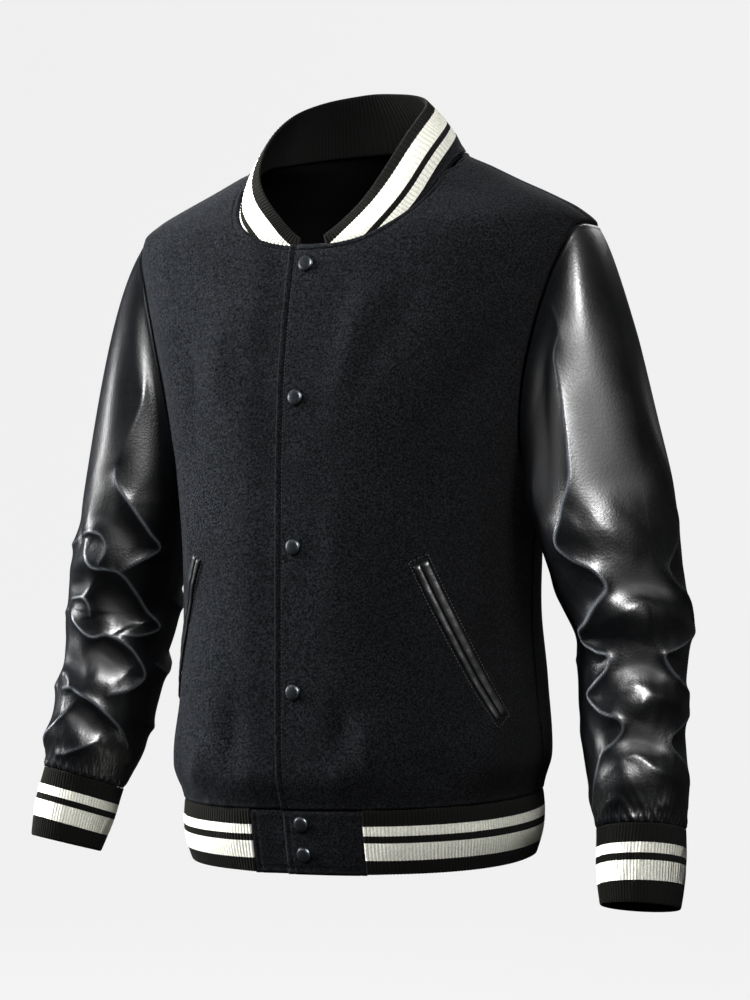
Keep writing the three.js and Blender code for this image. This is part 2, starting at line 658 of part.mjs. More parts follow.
// Hem band, from the left tab round the back to the right tab
const bandPoint = (u, v) => {
  const z = mix(HEM_SEAM_Z - SEAM_INSET, HEM_END_Z, v);
  const from = angleAt(TAB_LEFT_X, z),
    to = 2 * Math.PI + angleAt(TAB_RIGHT_X, z);
  const angle = mix(from, to, u);
  const lift = BAND_BULGE * (Math.sin(Math.PI * v) - BAND_SINK) * ease(0, BAND_END, Math.min(u, 1 - u));
  return bodyPoint(angle, z).addScaledVector(bodyNormal(angle, z), lift);
};
add("hem_band", ribbed(bandPoint, HEM_RIBS, [0, 0.5, 1], false), ...KNIT);

// The cloth's edge round the neck, from the left front (0) over the back (180) to the right front.
const neckEdge = (() => {
  const top = (panel) => panel.outer[panel.outer.length - 1];
  const from = neckStart(LEFT_EDGE_X),
    to = 360 + neckStart(RIGHT_EDGE_X);
  const edge = [];
  const put = (points, a, b) =>
    points.forEach((point, i) => edge.push({ turn: mix(a, b, i / (points.length - 1)), point }));
  put(top(leftFront).slice(0, NECK_STEPS + 1), from, 90);
  put(top(back).slice(SHOULDER_STEPS, -SHOULDER_STEPS), 90, 270);
  put(top(rightFront).slice(-NECK_STEPS - 1), 270, to);
  return (turn) => {
    let i = 0;
    while (i < edge.length - 2 && turn > edge[i + 1].turn) i++;
    const span = edge[i + 1].turn - edge[i].turn;
    const t = span ? (turn - edge[i].turn) / span : 0;
    return edge[i].point.clone().lerp(edge[i + 1].point, t);
  };
})();

// Collar, from the left front round the back to the right front
const collarPoint = (u, v) => {
  const turn = mix(COLLAR_LEFT_END, 360 + COLLAR_RIGHT_END, u);
  const left = turn <= 180,
    about = left ? turn : turn - 360;
  const base = neckEdge(turn);
  const lean = COLLAR_LEAN_X * ease(30, 90, Math.abs(about));
  const rim = (name) => column(COLLAR_RIM, "angle", name, Math.abs(about));
  const free = new THREE.Vector3((left ? 1 : -1) * rim("x") + lean, rim("y"), rim("z"));
  if (!left) free.y += LAP_DEPTH * lapShare(free.x) * (1 - ease(60, 90, -about));
  const start = base.clone().addScaledVector(NECK_MIDDLE.clone().sub(base).normalize(), COLLAR_GAP);
  start.z += COLLAR_LIFT;
  const bow = COLLAR_BOW * free.distanceTo(base) * Math.sin(Math.PI * v);
  const outwards = new THREE.Vector3(base.x, base.y, 0).normalize();
  return start.lerp(free, v).addScaledVector(outwards, bow);
};
add("collar", ribbed(collarPoint, COLLAR_RIBS, [0, 0.33, 0.67, 1], false), ...KNIT);

// Hem tabs
function addTab(name, fromX, toX, lap) {
  const rows = steps(2).map((v) => {
    const z = mix(HEM_SEAM_Z, HEM_END_Z - 1, v);
    const a = angleAt(fromX, z),
      b = angleAt(toX, z);
    return steps(8).map((u) => ({ angle: mix(a, b, u), z }));
  });
  const panel = bodyPanel(rows.reverse(), lap);
  add(name, panel.geometry, ...WOOL);
  return panel;
}
const leftTab = addTab("tab_left", LEFT_EDGE_X, TAB_LEFT_X, 0);
addTab("tab_right", TAB_RIGHT_X, RIGHT_EDGE_X, LAP_DEPTH);

// The two triangles of a panel's cell, as [row, column] corners.
function cellTriangles(rows, i, j) {
  const [a, b, c, d] = [[j, i], [j, i + 1], [j + 1, i + 1], [j + 1, i]];
  return splitsUp(rows, i, i + 1, j) ? [[a, b, c], [a, c, d]] : [[b, c, d], [b, d, a]];
}

// The place and outward direction on a panel's own triangles at a sideways place and level.
function onPanel(panel, x, z) {
  const rows = panel.outer;
  const triangle = new THREE.Triangle(),
    weights = new THREE.Vector3(),
    seen = new THREE.Vector3(x, 0, z);
  const flat = (p) => new THREE.Vector3(p.x, 0, p.z);
  for (let j = 0; j < rows.length - 1; j++)
    for (let i = 0; i < rows[0].length - 1; i++)
      for (const corners of cellTriangles(rows, i, j)) {
        const [a, b, c] = corners.map(([r, k]) => rows[r][k]);
        triangle.set(flat(a), flat(b), flat(c));
        if (!triangle.containsPoint(seen)) continue;
        triangle.getBarycoord(seen, weights);
        const mixAll = (list) =>
          new THREE.Vector3()
            .addScaledVector(list[0], weights.x)
            .addScaledVector(list[1], weights.y)
            .addScaledVector(list[2], weights.z);
        const normals = corners.map(([r, k]) => panel.normals[r][k]);
        return { point: mixAll([a, b, c]), out: mixAll(normals).normalize() };
      }
  throw new Error("no part of the panel lies at " + x + ", " + z);
}

// Snaps: a rim, a shallow groove and a dome, as rings of [radius, height]
const SNAP_RINGS = [
  [0.96, 0],
  [1, 0.3],
  [0.9, 0.52],
  [0.72, 0.55],
  [0.6, 0.86],
  [0.32, 1],
];
const SNAP_SIDES = 14;
const SNAP_CROWN = 1.04; // height of the dome's middle

// One snap on a place of a panel.
function snapGeometry({ point, out }) {
  const sides = SNAP_SIDES;
  const turn = new THREE.Quaternion().setFromUnitVectors(new THREE.Vector3(0, 0, 1), out);
  const place = (r, a, h) =>
    new THREE.Vector3(r * Math.cos(a), r * Math.sin(a), h + PIECE_LIFT).applyQuaternion(turn).add(point);
  const points = [],
    faces = [];
  const put = (p) => points.push(p.x, p.y, p.z) / 3 - 1;
  const rings = SNAP_RINGS.map(([r, h]) =>
    Array.from({ length: sides }, (_, k) =>
      put(place(r * SNAP_RADIUS, (2 * Math.PI * k) / sides, h * SNAP_HEIGHT)),
    ),
  );
  const under = put(place(0, 0, 0)),
    crown = put(place(0, 0, SNAP_HEIGHT * SNAP_CROWN));
  const last = rings.length - 1;
  for (let k = 0; k < sides; k++) {
    const n = (k + 1) % sides;
    faces.push(under, rings[0][n], rings[0][k], crown, rings[last][k], rings[last][n]);
    for (let j = 0; j < last; j++)
      faces.push(rings[j][k], rings[j][n], rings[j + 1][n], rings[j][k], rings[j + 1][n], rings[j + 1][k]);
  }
  return solid(points, faces);
}
PLACKET_SNAP_Z.forEach((z, i) => add("snap_" + (i + 1), snapGeometry(onPanel(leftFront, 0, z)), ...SNAP));
TAB_SNAP_Z.forEach((z, i) => add("tab_snap_" + (i + 1), snapGeometry(onPanel(leftTab, 0, z)), ...SNAP));

// Pocket welts: two strips side by side along the slanted pocket mouth
function addWelts(panel, sign, side) {
  const spots = steps(POCKET_STEPS).map((t) => {
    const x = mix(POCKET_TOP.x, POCKET_END.x, t) * sign,
      z = mix(POCKET_TOP.z, POCKET_END.z, t);
    return onPanel(panel, x, z);
  });
  for (const [name, way] of [["front", -sign], ["rear", sign]]) {
    const edges = spots.map(({ point, out }, i) => {
      const along = spots[Math.min(i + 1, POCKET_STEPS)].point.clone().sub(spots[Math.max(i - 1, 0)].point);
      const across = along.normalize().cross(out).normalize();
      if (across.x * way < 0) across.negate();
      return [WELT_GAP / 2, WELT_GAP / 2 + WELT_WIDTH].map((far) => {
        const low = point.clone().addScaledVector(across, far).addScaledVector(out, PIECE_LIFT);
        return { low, high: low.clone().addScaledVector(out, WELT_THICK) };
      });
    });
    const outer = edges.map((row) => row.map((p) => p.high)),
      inner = edges.map((row) => row.map((p) => p.low));
    add("welt_" + name + "_" + side, wall(outer, inner), ...LEATHER);
  }
}
addWelts(leftFront, 1, "left");
addWelts(rightFront, -1, "right");

export default jacket;
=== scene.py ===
"""A varsity jacket as it hangs on a wearer who isn't there: wool body, leather sleeves and striped rib knit.

Shapes are worked out in millimetres with +Z up, the front towards -Y and the wearer's left at +X.
They become metres only where a mesh is made.
"""

import math

import bpy
import bmesh
import numpy as np
from bpy.props import FloatProperty, FloatVectorProperty, IntProperty, PointerProperty
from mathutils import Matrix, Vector


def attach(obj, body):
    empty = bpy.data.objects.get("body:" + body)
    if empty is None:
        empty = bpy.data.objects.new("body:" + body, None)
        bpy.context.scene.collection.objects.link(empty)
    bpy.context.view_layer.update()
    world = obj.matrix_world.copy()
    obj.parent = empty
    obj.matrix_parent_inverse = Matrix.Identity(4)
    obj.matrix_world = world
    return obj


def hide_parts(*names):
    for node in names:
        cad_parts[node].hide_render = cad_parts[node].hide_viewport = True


bl_info = {
    "name": "Varsity jacket",
    "version": (1, 0, 0),
    "blender": (4, 5, 0),
    "location": "3D View > Sidebar > Jacket",
    "description": "Builds a worn varsity jacket with leather sleeves and striped rib knit",
    "category": "Object",
}

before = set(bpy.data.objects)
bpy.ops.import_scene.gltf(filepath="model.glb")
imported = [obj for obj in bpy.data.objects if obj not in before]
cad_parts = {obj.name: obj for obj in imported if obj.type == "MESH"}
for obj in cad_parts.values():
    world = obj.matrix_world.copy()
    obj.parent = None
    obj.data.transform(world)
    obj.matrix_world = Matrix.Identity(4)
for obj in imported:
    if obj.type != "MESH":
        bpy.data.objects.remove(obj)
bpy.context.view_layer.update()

# ---------------------------------------------------------------- sizes of the jacket, in millimetres

HEM_SEAM_Z, HEM_END_Z = -614.0, -674.0
ARMPIT_Z, SHOULDER_TIP_Z = -302.0, -73.0
NECK_DROP, NECK_HALF, NECK_BACK_RISE, NECK_SQUARE = 90.0, 108.0, 14.0, 2.5
RING_SQUARE = 2.3
LEFT_EDGE_X, RIGHT_EDGE_X = -20.0, 8.0
HEM_SLANT, SLANT_TOP_Z = 0.068, -330.0
LAP_DEPTH = 3.1
WOOL_THICK, LEATHER_THICK, KNIT_THICK = 2.4, 1.6, 2.0
ARMHOLE_REACH, ARMHOLE_BLUNT, ARMHOLE_TAPER = 28.5, 0.42, 0.1
ARMHOLE_MIDDLE = np.array([226.0, 0.0, -190.0])
SLEEVE_TOP_Z, SLEEVE_END_Z, CUFF_END_Z = -325.0, -618.0, -682.0
CAP_FULLNESS = 0.56
TAB_LEFT_X, TAB_RIGHT_X = 61.0, -57.0


class Table:
    """Sizes by level or angle, read through a smooth curve that never overshoots its rows."""

    def __init__(self, by, **columns):
        order = np.argsort(columns[by])
        self.at = np.array(columns[by], float)[order]
        self.columns = {k: np.array(v, float)[order] for k, v in columns.items() if k != by}

    def __call__(self, name, at):
        x, y = self.at, self.columns[name]
        slope = np.diff(y) / np.diff(x)
        before, after = slope[:-1], slope[1:]
        same = before * after > 0
        inner = np.where(same, 2 * before * after / np.where(same, before + after, 1), 0)
        tangent = np.concatenate([slope[:1], inner, slope[-1:]])
        v = np.clip(at, x[0], x[-1])
        i = np.clip(np.searchsorted(x, v, side="right") - 1, 0, len(x) - 2)
        h = x[i + 1] - x[i]
        t = (v - x[i]) / h
        return (
            (2 * t**3 - 3 * t**2 + 1) * y[i]
            + (t**3 - 2 * t**2 + t) * h * tangent[i]
            + (3 * t**2 - 2 * t**3) * y[i + 1]
            + (t**3 - t**2) * h * tangent[i + 1]
        )


BODY_RINGS = Table(
    "z",
    z=[-680, -645, -614, -578, -510, -440, -390, -300, -275, -220, -175, -122, -90, -72, -58, -44, -30, -15, 0, 14],
    side=[175, 181, 182, 190, 183, 179, 180, 189, 194, 206, 219, 234, 241, 239, 224, 198, 168, 138, 108, 100],
    front=[108, 115, 121, 132, 134, 134, 134, 133, 132, 129, 123, 113, 105, 97, 84, 70, 57, 42, 30, 24],
    back=[99, 105, 108, 116, 113, 111, 113, 118, 119, 119, 116, 110, 104, 100, 96, 91, 84, 76, 68, 58],
)
SLEEVE_RINGS = Table(
    "z",
    z=[-325, -384, -444, -509, -584, -618, -650, -690],
    x=[252, 264, 278, 282, 295, 301, 305, 309],
    y=[-6, -3, 1, -12, -28, -38, -49, -62],
    across=[55, 55, 51, 47, 44, 39.5, 38, 34.5],
    deep=[82, 76, 66, 58, 55, 46, 43, 38],
    turn=[16, 7, -6, -9, -8, -4, 0, 0],
)
COLLAR_RIM = Table(
    "angle",
    angle=[0, 12, 32, 56, 74, 90, 112, 145, 180],
    x=[8, 20, 36, 58, 72, 77, 74, 48, 0],
    y=[-104.5, -102, -96, -81, -58, -18, 18, 44, 52],
    z=[-86.5, -78.5, -64, -38, -8, 28, 51, 66, 72],
)

# Soft folds of the body: degrees round from the front, level, half length, half width, lean, height
BODY_FOLDS = [
    (24, -190, 120, 27, 0.5, 3.2), (44, -230, 110, 28, 0.6, -2.8), (55, -345, 90, 19, -0.35, 2.6),
    (30, -470, 120, 26, 0.1, -2.4), (58, -560, 70, 20, 0.25, 3.0), (14, -575, 45, 11, 0.1, 2.2),
    (80, -470, 110, 22, -0.15, 3.0), (-26, -210, 110, 20, -0.5, 2.8), (-46, -330, 110, 22, 0.3, -2.6),
    (-30, -520, 100, 22, -0.1, 2.6), (-56, -570, 60, 18, -0.2, 2.8), (-80, -440, 120, 22, 0.15, 3.0),
    (112, -500, 100, 24, 0.2, 3.2), (140, -540, 80, 24, -0.1, 3.4), (168, -560, 70, 22, 0.15, 3.0),
    (200, -550, 80, 24, -0.1, 3.2), (232, -500, 110, 24, -0.2, 3.2), (130, -280, 120, 24, 0.5, -3.0),
    (228, -270, 120, 24, -0.5, -3.0), (180, -330, 150, 30, 0.05, 2.4),
]
BODY_RADIUS = 165.0
FOLDS_TOP_Z = -85.0


def ease(a, b, v):
    """0 below a, 1 above b and smooth between them."""
    t = np.clip((v - a) / (b - a), 0, 1)
    return t * t * (3 - 2 * t)


def unit(v):
    return v / np.maximum(np.linalg.norm(v, axis=-1, keepdims=True), 1e-9)


def turned(angle, middle):
    """How far an angle is from a middle one, in radians, the short way round."""
    turn = angle - np.radians(middle)
    return np.arctan2(np.sin(turn), np.cos(turn))


def body_ring(angle, z):
    """The body's outer face without folds, and the direction out of it."""
    side = BODY_RINGS("side", z)
    depth = np.where(np.cos(angle) > 0, BODY_RINGS("front", z), BODY_RINGS("back", z))
    s, c = np.sin(angle), np.cos(angle)
    round_by = (np.abs(s) ** RING_SQUARE + np.abs(c) ** RING_SQUARE) ** (1 / RING_SQUARE)
    x, y = side * s / round_by, -depth * c / round_by
    out = unit(np.stack([x / side**2, y / depth**2, 0 * x], -1))
    return np.stack([x, y, z + 0 * x], -1), out


def body_fold(angle, z):
    total = 0.0
    for middle, level, half, width, lean, height in BODY_FOLDS:
        up = z - level
        across = (turned(angle, middle) * BODY_RADIUS - lean * up) / width
        fade = np.where(np.abs(up) < half, np.cos(np.clip(up / half, -1, 1) * math.pi / 2) ** 2, 0)
        total = total + height * np.exp(-across**2) * fade
    flat_by_edge = ease(18, 42, np.abs(np.sin(angle)) * 190 + np.where(np.cos(angle) < 0, 99, 0))
    by_hem = ease(HEM_SEAM_Z, HEM_SEAM_Z + 20, z)
    return total * flat_by_edge * by_hem * (1 - ease(FOLDS_TOP_Z - 50, FOLDS_TOP_Z, z))


def body_point(angle, z, lap=0.0, lift=0.0):
    """A point of the body's outer face; lap is how far the right front sinks behind the left one."""
    p, out = body_ring(angle, z)
    lift = lift + body_fold(angle, z) - np.where(np.cos(angle) > 0, lap * (1 - ease(24, 58, -p[..., 0])), 0)
    slant = HEM_SLANT * (1 - ease(HEM_SEAM_Z, SLANT_TOP_Z, z))
    moved = p + out * np.asarray(lift)[..., None]
    moved[..., 2] = z + slant * p[..., 0]
    return moved


def angle_at(x, z, behind=False):
    """The angle round the ring of the point at a sideways place and level."""
    share = np.minimum(np.abs(x) / BODY_RINGS("side", z), 1) ** RING_SQUARE
    a = np.arctan2(share ** (1 / RING_SQUARE), (1 - share) ** (1 / RING_SQUARE))
    return np.sign(x) * np.where(behind, math.pi - a, a)


def ring_place(p):
    """The ring angle and level of points near the body."""
    side = BODY_RINGS("side", p[..., 2])
    depth = np.where(p[..., 1] < 0, BODY_RINGS("front", p[..., 2]), BODY_RINGS("back", p[..., 2]))
    return np.stack([np.arctan2(p[..., 0] / side, -p[..., 1] / depth), p[..., 2]], -1)


def neckline(turn):
    """Ring angle and level of the neckline, by the angle round the neck from the front."""
    turn = np.asarray(turn, float)
    s = np.abs(np.sin(np.radians(turn))) ** (2 / NECK_SQUARE)
    c = np.abs(np.cos(np.radians(turn)))
    behind = np.abs(turn) > 90
    z = np.where(behind, NECK_BACK_RISE * c**1.3, -NECK_DROP * c ** (2 / NECK_SQUARE))
    angle = angle_at(np.sign(turn) * NECK_HALF * s, z, behind)
    return np.stack([np.where(np.abs(turn) >= 179.999, math.pi, angle), z], -1)


def armhole(turn, behind):
    """Ring angle and level of the armhole, from the shoulder tip (0) down to the armpit (180)."""
    turn = np.asarray(turn, float)
    c = np.cos(np.radians(turn))
    reach = ARMHOLE_REACH * np.maximum(np.sin(np.radians(turn)), 0) ** ARMHOLE_BLUNT
    away = np.radians(reach * (1 - ARMHOLE_TAPER * (1 - c)))
    z = ARMPIT_Z + (SHOULDER_TIP_Z - ARMPIT_Z) * (1 + c) / 2
    return np.stack([math.pi / 2 + np.where(behind, away, -away), z], -1)


def sleeve_centre(z):
    return np.stack([SLEEVE_RINGS("x", z), SLEEVE_RINGS("y", z), z + 0 * SLEEVE_RINGS("x", z)], -1)


def sleeve_point(angle, z, lift=0.0):
    """A point of the left sleeve's or cuff's outer face; the angle runs from outside over the front."""
    down = unit(sleeve_centre(z - 4) - sleeve_centre(np.minimum(z + 4, SLEEVE_TOP_Z)))
    out = unit(np.array([1.0, 0, 0]) - down[..., :1] * down)
    front = unit(np.cross(out, down))
    front = front * np.where(front[..., 1:2] > 0, -1, 1)
    turn = np.radians(SLEEVE_RINGS("turn", z))[..., None]
    long = front * np.cos(turn) - out * np.sin(turn)
    wide = out * np.cos(turn) + front * np.sin(turn)
    across = (SLEEVE_RINGS("across", z) + lift) * np.cos(angle)
    deep = (SLEEVE_RINGS("deep", z) + lift) * np.sin(angle)
    return sleeve_centre(z) + wide * across[..., None] + long * deep[..., None]


def sleeve_rows(columns, cap_rows, tube_rows):
    """Points of the left sleeve without folds: rows from the armhole down, columns round from outside."""
    k = np.arange(columns)
    share = k / columns * 2
    behind = share > 1
    turn = 180 * np.where(behind, 2 - share, share)
    place = armhole(turn, behind)
    start = body_point(place[:, 0], place[:, 1])
    start = start + unit(ARMHOLE_MIDDLE - start) * 0.35
    s, c = np.sin(np.radians(turn)), np.cos(np.radians(turn))
    leave = unit(np.stack([
        np.where(c > 0, 0.8 - 0.18 * c, 0.8 + 0.46 * c),
        np.where(behind, 0.6, -0.55) * s,
        np.where(c > 0, -0.25 - 0.53 * c, -0.25 + 0.69 * c),
    ], -1))
    angle = 2 * math.pi * k / columns
    end = sleeve_point(angle, np.full(columns, SLEEVE_TOP_Z))
    go = unit(sleeve_point(angle, np.full(columns, SLEEVE_TOP_Z - 4)) - end)
    far = np.linalg.norm(end - start, axis=-1, keepdims=True) * CAP_FULLNESS
    rows = []
    for t in np.linspace(0, 1, cap_rows + 1) ** 1.25:
        rows.append(start * (2 * t**3 - 3 * t**2 + 1) + leave * far * (t**3 - 2 * t**2 + t)
                    + end * (3 * t**2 - 2 * t**3) + go * far * (t**3 - t**2))
    for z in np.linspace(SLEEVE_TOP_Z, SLEEVE_END_Z, tube_rows + 1)[1:]:
        rows.append(sleeve_point(angle, np.full(columns, z)))
    return np.array(rows), np.broadcast_to(angle, (cap_rows + tube_rows + 1, columns))


# ---------------------------------------------------------------- creases and seams laid into the cloth

# Each crease is its height, the distance over which it falls away, the softness of its crest, and
# its path as (degrees round, level). A negative height is a trough.
SHARP_TIP, PINCH_SHARE, PINCH_WIDTH, SWELL_WIDTH = 1.9, 0.6, 0.42, 1.35
# Width of the crest mask along which the leather is painted paler, as a painted highlight
CREST_WIDTH = 0.95
PAINTED_CREST_HIGHLIGHT_COLOUR = "#74797f"  # painted highlight: a paler colour laid along the sharp crests of the leather
SLEEVE_RADIUS = 56.0
LEFT_SLEEVE_CREASES = [
    # the long ridge down the front, pinched in at each stack
    (5.0, 8.0, 0.9, [(63, -150), (60, -175), (68, -196), (64, -220), (61, -253), (60, -286), (63, -310), (80, -340),
                     (94, -363), (86, -376), (72, -386), (70, -401), (88, -416), (107, -431), (124, -441), (126, -452),
                     (112, -459), (99, -462), (101, -474), (116, -488), (126, -499), (109, -511), (91, -516),
                     (87, -525), (98, -536), (114, -547), (128, -568), (150, -600)]),
    # the ridge down the rear of the outer side, soft above the elbow
    (3.0, 12.0, 3.0, [(8, -180), (2, -225), (-6, -265), (-20, -307), (-30, -330)]),
    (-4.5, 12.0, 6.0, [(-18, -180), (-26, -235), (-36, -275), (-50, -318)]),
    (4.8, 8.0, 0.9, [(-30, -322), (-34, -342), (-18, -362),
                     (8, -382), (10, -394), (0, -408), (-19, -428), (-22, -441), (0, -450), (28, -457), (42, -462),
                     (32, -476), (10, -492), (-14, -505), (-12, -518), (14, -526), (32, -533), (31, -544),
                     (12, -560), (-4, -584)]),
    # the hollow between the front ridge and the body, and the flat face between the ridges
    (-8.0, 13.0, 8.0, [(80, -120), (84, -150), (90, -190), (90, -240), (88, -286), (92, -320), (110, -346),
                       (122, -366)]),
    (-3.0, 20.0, 14.0, [(42, -130), (40, -190), (36, -250), (30, -300), (30, -350)]),
    # arched ridges of the three stacks, each with the trough above it
    (3.6, 8.0, 2.6, [(118, -439), (88, -430), (64, -419), (48, -414), (36, -422), (8, -439)]),
    (-6.0, 9.0, 5.0, [(86, -412), (57, -402), (38, -398), (20, -404), (6, -414)]),
    (3.4, 8.0, 2.6, [(124, -502), (96, -494), (68, -488), (50, -497), (22, -505), (-10, -506)]),
    (-6.0, 8.0, 4.5, [(104, -480), (77, -471), (60, -470), (40, -478), (24, -486)]),
    (3.6, 8.0, 2.6, [(140, -585), (106, -561), (78, -547), (56, -559), (30, -570), (2, -584)]),
    (-6.5, 8.0, 4.5, [(112, -544), (90, -535), (71, -533), (50, -539), (32, -552)]),
    # the soft folds between the stacks
    (2.6, 9.0, 3.0, [(48, -416), (58, -434), (64, -452)]),
    (2.4, 8.0, 3.0, [(66, -490), (66, -504), (72, -517)]),
    (2.2, 7.0, 2.5, [(84, -552), (92, -566), (96, -580)]),
    (-2.2, 16.0, 9.0, [(60, -318), (31, -309), (6, -306), (-14, -314)]),
    (1.8, 16.0, 9.0, [(66, -344), (40, -336), (10, -338)]),
    (2.4, 6.0, 2.0, [(133, -603), (118, -592), (100, -584), (97, -595)]),
    (2.2, 6.0, 2.0, [(58, -596), (44, -589), (20, -600)]),
    (-2.0, 5.0, 2.0, [(80, -600), (72, -588)]),
    (2.6, 9.0, 2.5, [(118, -290), (132, -330), (140, -362)]),
    # the hidden rear side
    (4.5, 10.0, 1.7, [(190, -330), (214, -352), (240, -346), (268, -356)]),
    (-4.0, 10.0, 5.0, [(196, -346), (222, -368), (250, -362), (276, -370)]),
    (5.2, 9.0, 1.7, [(176, -404), (206, -420), (232, -410), (262, -424), (292, -416)]),
    (-4.6, 9.0, 4.5, [(186, -388), (214, -402), (240, -394), (268, -404)]),
    (5.2, 9.0, 1.7, [(170, -470), (200, -484), (228, -474), (258, -488), (300, -478)]),
    (-4.6, 8.0, 4.5, [(180, -454), (208, -466), (236, -458), (266, -470)]),
    (5.0, 9.0, 1.7, [(176, -534), (206, -546), (238, -538), (272, -550), (310, -540)]),
    (-4.4, 8.0, 4.5, [(184, -518), (212, -530), (244, -524), (276, -532)]),
    (4.0, 9.0, 1.7, [(196, -590), (230, -580), (262, -592)]),
    (3.0, 12.0, 4.0, [(214, -140), (226, -190), (238, -250), (232, -310)]),
]
RIGHT_SLEEVE_CREASES = [
    # from the shoulder down the front, then the four points that fold towards the body
    (3.8, 10.0, 1.8, [(60, -132), (72, -158), (84, -186), (94, -214), (97, -240), (91, -270), (80, -300)]),
    (4.8, 8.0, 1.1, [(80, -302), (88, -318), (109, -340), (130, -364), (145, -381), (130, -392), (112, -402)]),
    (4.8, 8.0, 1.1, [(66, -371), (74, -386), (88, -399), (112, -402), (135, -423), (158, -445), (178, -464),
                     (158, -470), (134, -468)]),
    (4.6, 7.5, 1.1, [(72, -441), (84, -456), (107, -471), (125, -469), (146, -479), (162, -494), (174, -513),
                     (160, -524), (134, -529)]),
    (4.4, 7.5, 1.1, [(74, -524), (92, -522), (108, -528), (126, -536), (144, -549), (164, -566), (184, -589)]),
    (3.6, 7.0, 1.4, [(48, -588), (62, -574), (80, -560), (104, -532)]),
    (3.4, 7.0, 1.4, [(84, -588), (104, -586), (124, -580), (146, -573)]),
    (3.4, 6.5, 1.4, [(58, -368), (72, -364), (86, -368), (95, -381), (92, -397)]),
    (3.4, 6.5, 1.4, [(64, -434), (76, -432), (90, -431), (100, -440), (104, -452)]),
    (3.0, 7.0, 1.8, [(62, -514), (74, -508), (88, -514), (94, -526)]),
    # troughs behind the points
    (-5.5, 9.0, 4.5, [(60, -352), (80, -350), (104, -362), (120, -380)]),
    (-6.0, 9.0, 4.5, [(100, -422), (124, -438), (146, -456), (150, -462)]),
    (-5.5, 8.0, 4.0, [(56, -420), (74, -418), (92, -420)]),
    (-6.0, 8.5, 4.5, [(96, -488), (118, -486), (140, -498), (152, -510)]),
    (-5.5, 8.0, 4.5, [(60, -500), (78, -496), (98, -506), (118, -516)]),
    (-5.0, 8.0, 4.5, [(84, -548), (106, -548), (128, -560), (148, -578)]),
    (-3.0, 7.0, 3.5, [(60, -600), (84, -604), (110, -600)]),
    (-2.4, 14.0, 7.0, [(52, -300), (80, -312), (104, -330)]),
    # the outer side, hardly seen from the front
    (4.2, 10.0, 1.7, [(58, -372), (30, -380), (4, -374), (-24, -386)]),
    (4.5, 10.0, 1.7, [(60, -444), (34, -452), (6, -446), (-22, -458)]),
    (4.2, 10.0, 1.7, [(62, -522), (34, -526), (8, -518), (-20, -530)]),
    (-3.8, 9.0, 4.5, [(46, -360), (16, -358), (-14, -366)]),
    (-3.8, 9.0, 4.5, [(46, -430), (18, -430), (-12, -438)]),
    (-3.6, 9.0, 4.5, [(44, -502), (18, -502), (-12, -510)]),
    # the hidden rear side
    (5.0, 10.0, 1.7, [(190, -352), (216, -366), (246, -356), (280, -368)]),
    (-4.4, 9.0, 4.5, [(196, -336), (224, -350), (256, -342), (284, -352)]),
    (5.2, 9.5, 1.7, [(182, -432), (210, -446), (244, -436), (284, -450)]),
    (-4.6, 9.0, 4.5, [(190, -416), (218, -430), (250, -420), (286, -432)]),
    (5.2, 9.5, 1.7, [(186, -500), (214, -512), (250, -502), (292, -516)]),
    (-4.6, 8.5, 4.5, [(192, -484), (222, -496), (256, -488), (292, -498)]),
    (4.8, 9.5, 1.7, [(196, -560), (230, -570), (266, -560), (300, -572)]),
    (3.2, 12.0, 4.0, [(216, -150), (230, -210), (236, -270), (228, -320)]),
]
BODY_CREASES = [
    (1.5, 14.0, 8.0, [(22, -112), (17, -150), (11, -200), (8, -240)]),
    (-1.3, 12.0, 8.0, [(30, -118), (26, -160), (19, -214), (14, -262)]),
    (1.4, 16.0, 9.0, [(44, -130), (40, -180), (36, -236), (30, -290)]),
    (-1.2, 16.0, 9.0, [(54, -150), (50, -206), (46, -270)]),
    (1.2, 10.0, 6.0, [(9, -300), (10, -350), (8, -400), (10, -440)]),
    (-1.2, 9.0, 6.0, [(14, -500), (15, -540), (13, -580)]),
    (1.8, 10.0, 6.0, [(20, -520), (22, -556), (19, -592)]),
    (-1.6, 12.0, 7.0, [(60, -420), (66, -470), (72, -530)]),
    (1.6, 12.0, 7.0, [(52, -540), (58, -568), (70, -590)]),
    (-1.4, 10.0, 6.0, [(36, -560), (40, -582), (52, -598)]),
    (1.4, 14.0, 8.0, [(-20, -130), (-24, -190), (-26, -250)]),
    (-1.4, 12.0, 7.0, [(-34, -150), (-36, -220), (-40, -290)]),
    (1.6, 12.0, 7.0, [(-50, -300), (-46, -360), (-42, -430)]),
    (-1.4, 10.0, 6.0, [(-20, -500), (-22, -550), (-20, -586)]),
    (1.6, 10.0, 6.0, [(-34, -540), (-36, -572), (-44, -596)]),
    (2.0, 14.0, 8.0, [(150, -150), (158, -220), (164, -300)]),
    (2.0, 14.0, 8.0, [(212, -150), (204, -220), (198, -300)]),
    (-2.0, 14.0, 8.0, [(180, -420), (176, -480), (184, -550)]),
    (2.2, 11.0, 6.0, [(120, -540), (128, -570), (140, -596)]),
    (2.2, 11.0, 6.0, [(238, -540), (232, -570), (222, -596)]),
    (1.8, 11.0, 6.0, [(164, -560), (168, -580), (176, -598)]),
    (-1.8, 11.0, 6.0, [(204, -552), (208, -576), (204, -598)]),
]
FOLD_DEPTH = 3.1
HEM_PUCKER, HEM_PUCKER_REACH = 0.9, 15.0

SEAM_WIDTH, SEAM_DEPTH = 1.5, 1.5
STITCH_FROM_EDGE, STITCH_SINK, EDGE_RISE, EDGE_TRENCH = 6.5, 1.0, 1.2, 1.7
EDGE_ROUNDING = 1.3


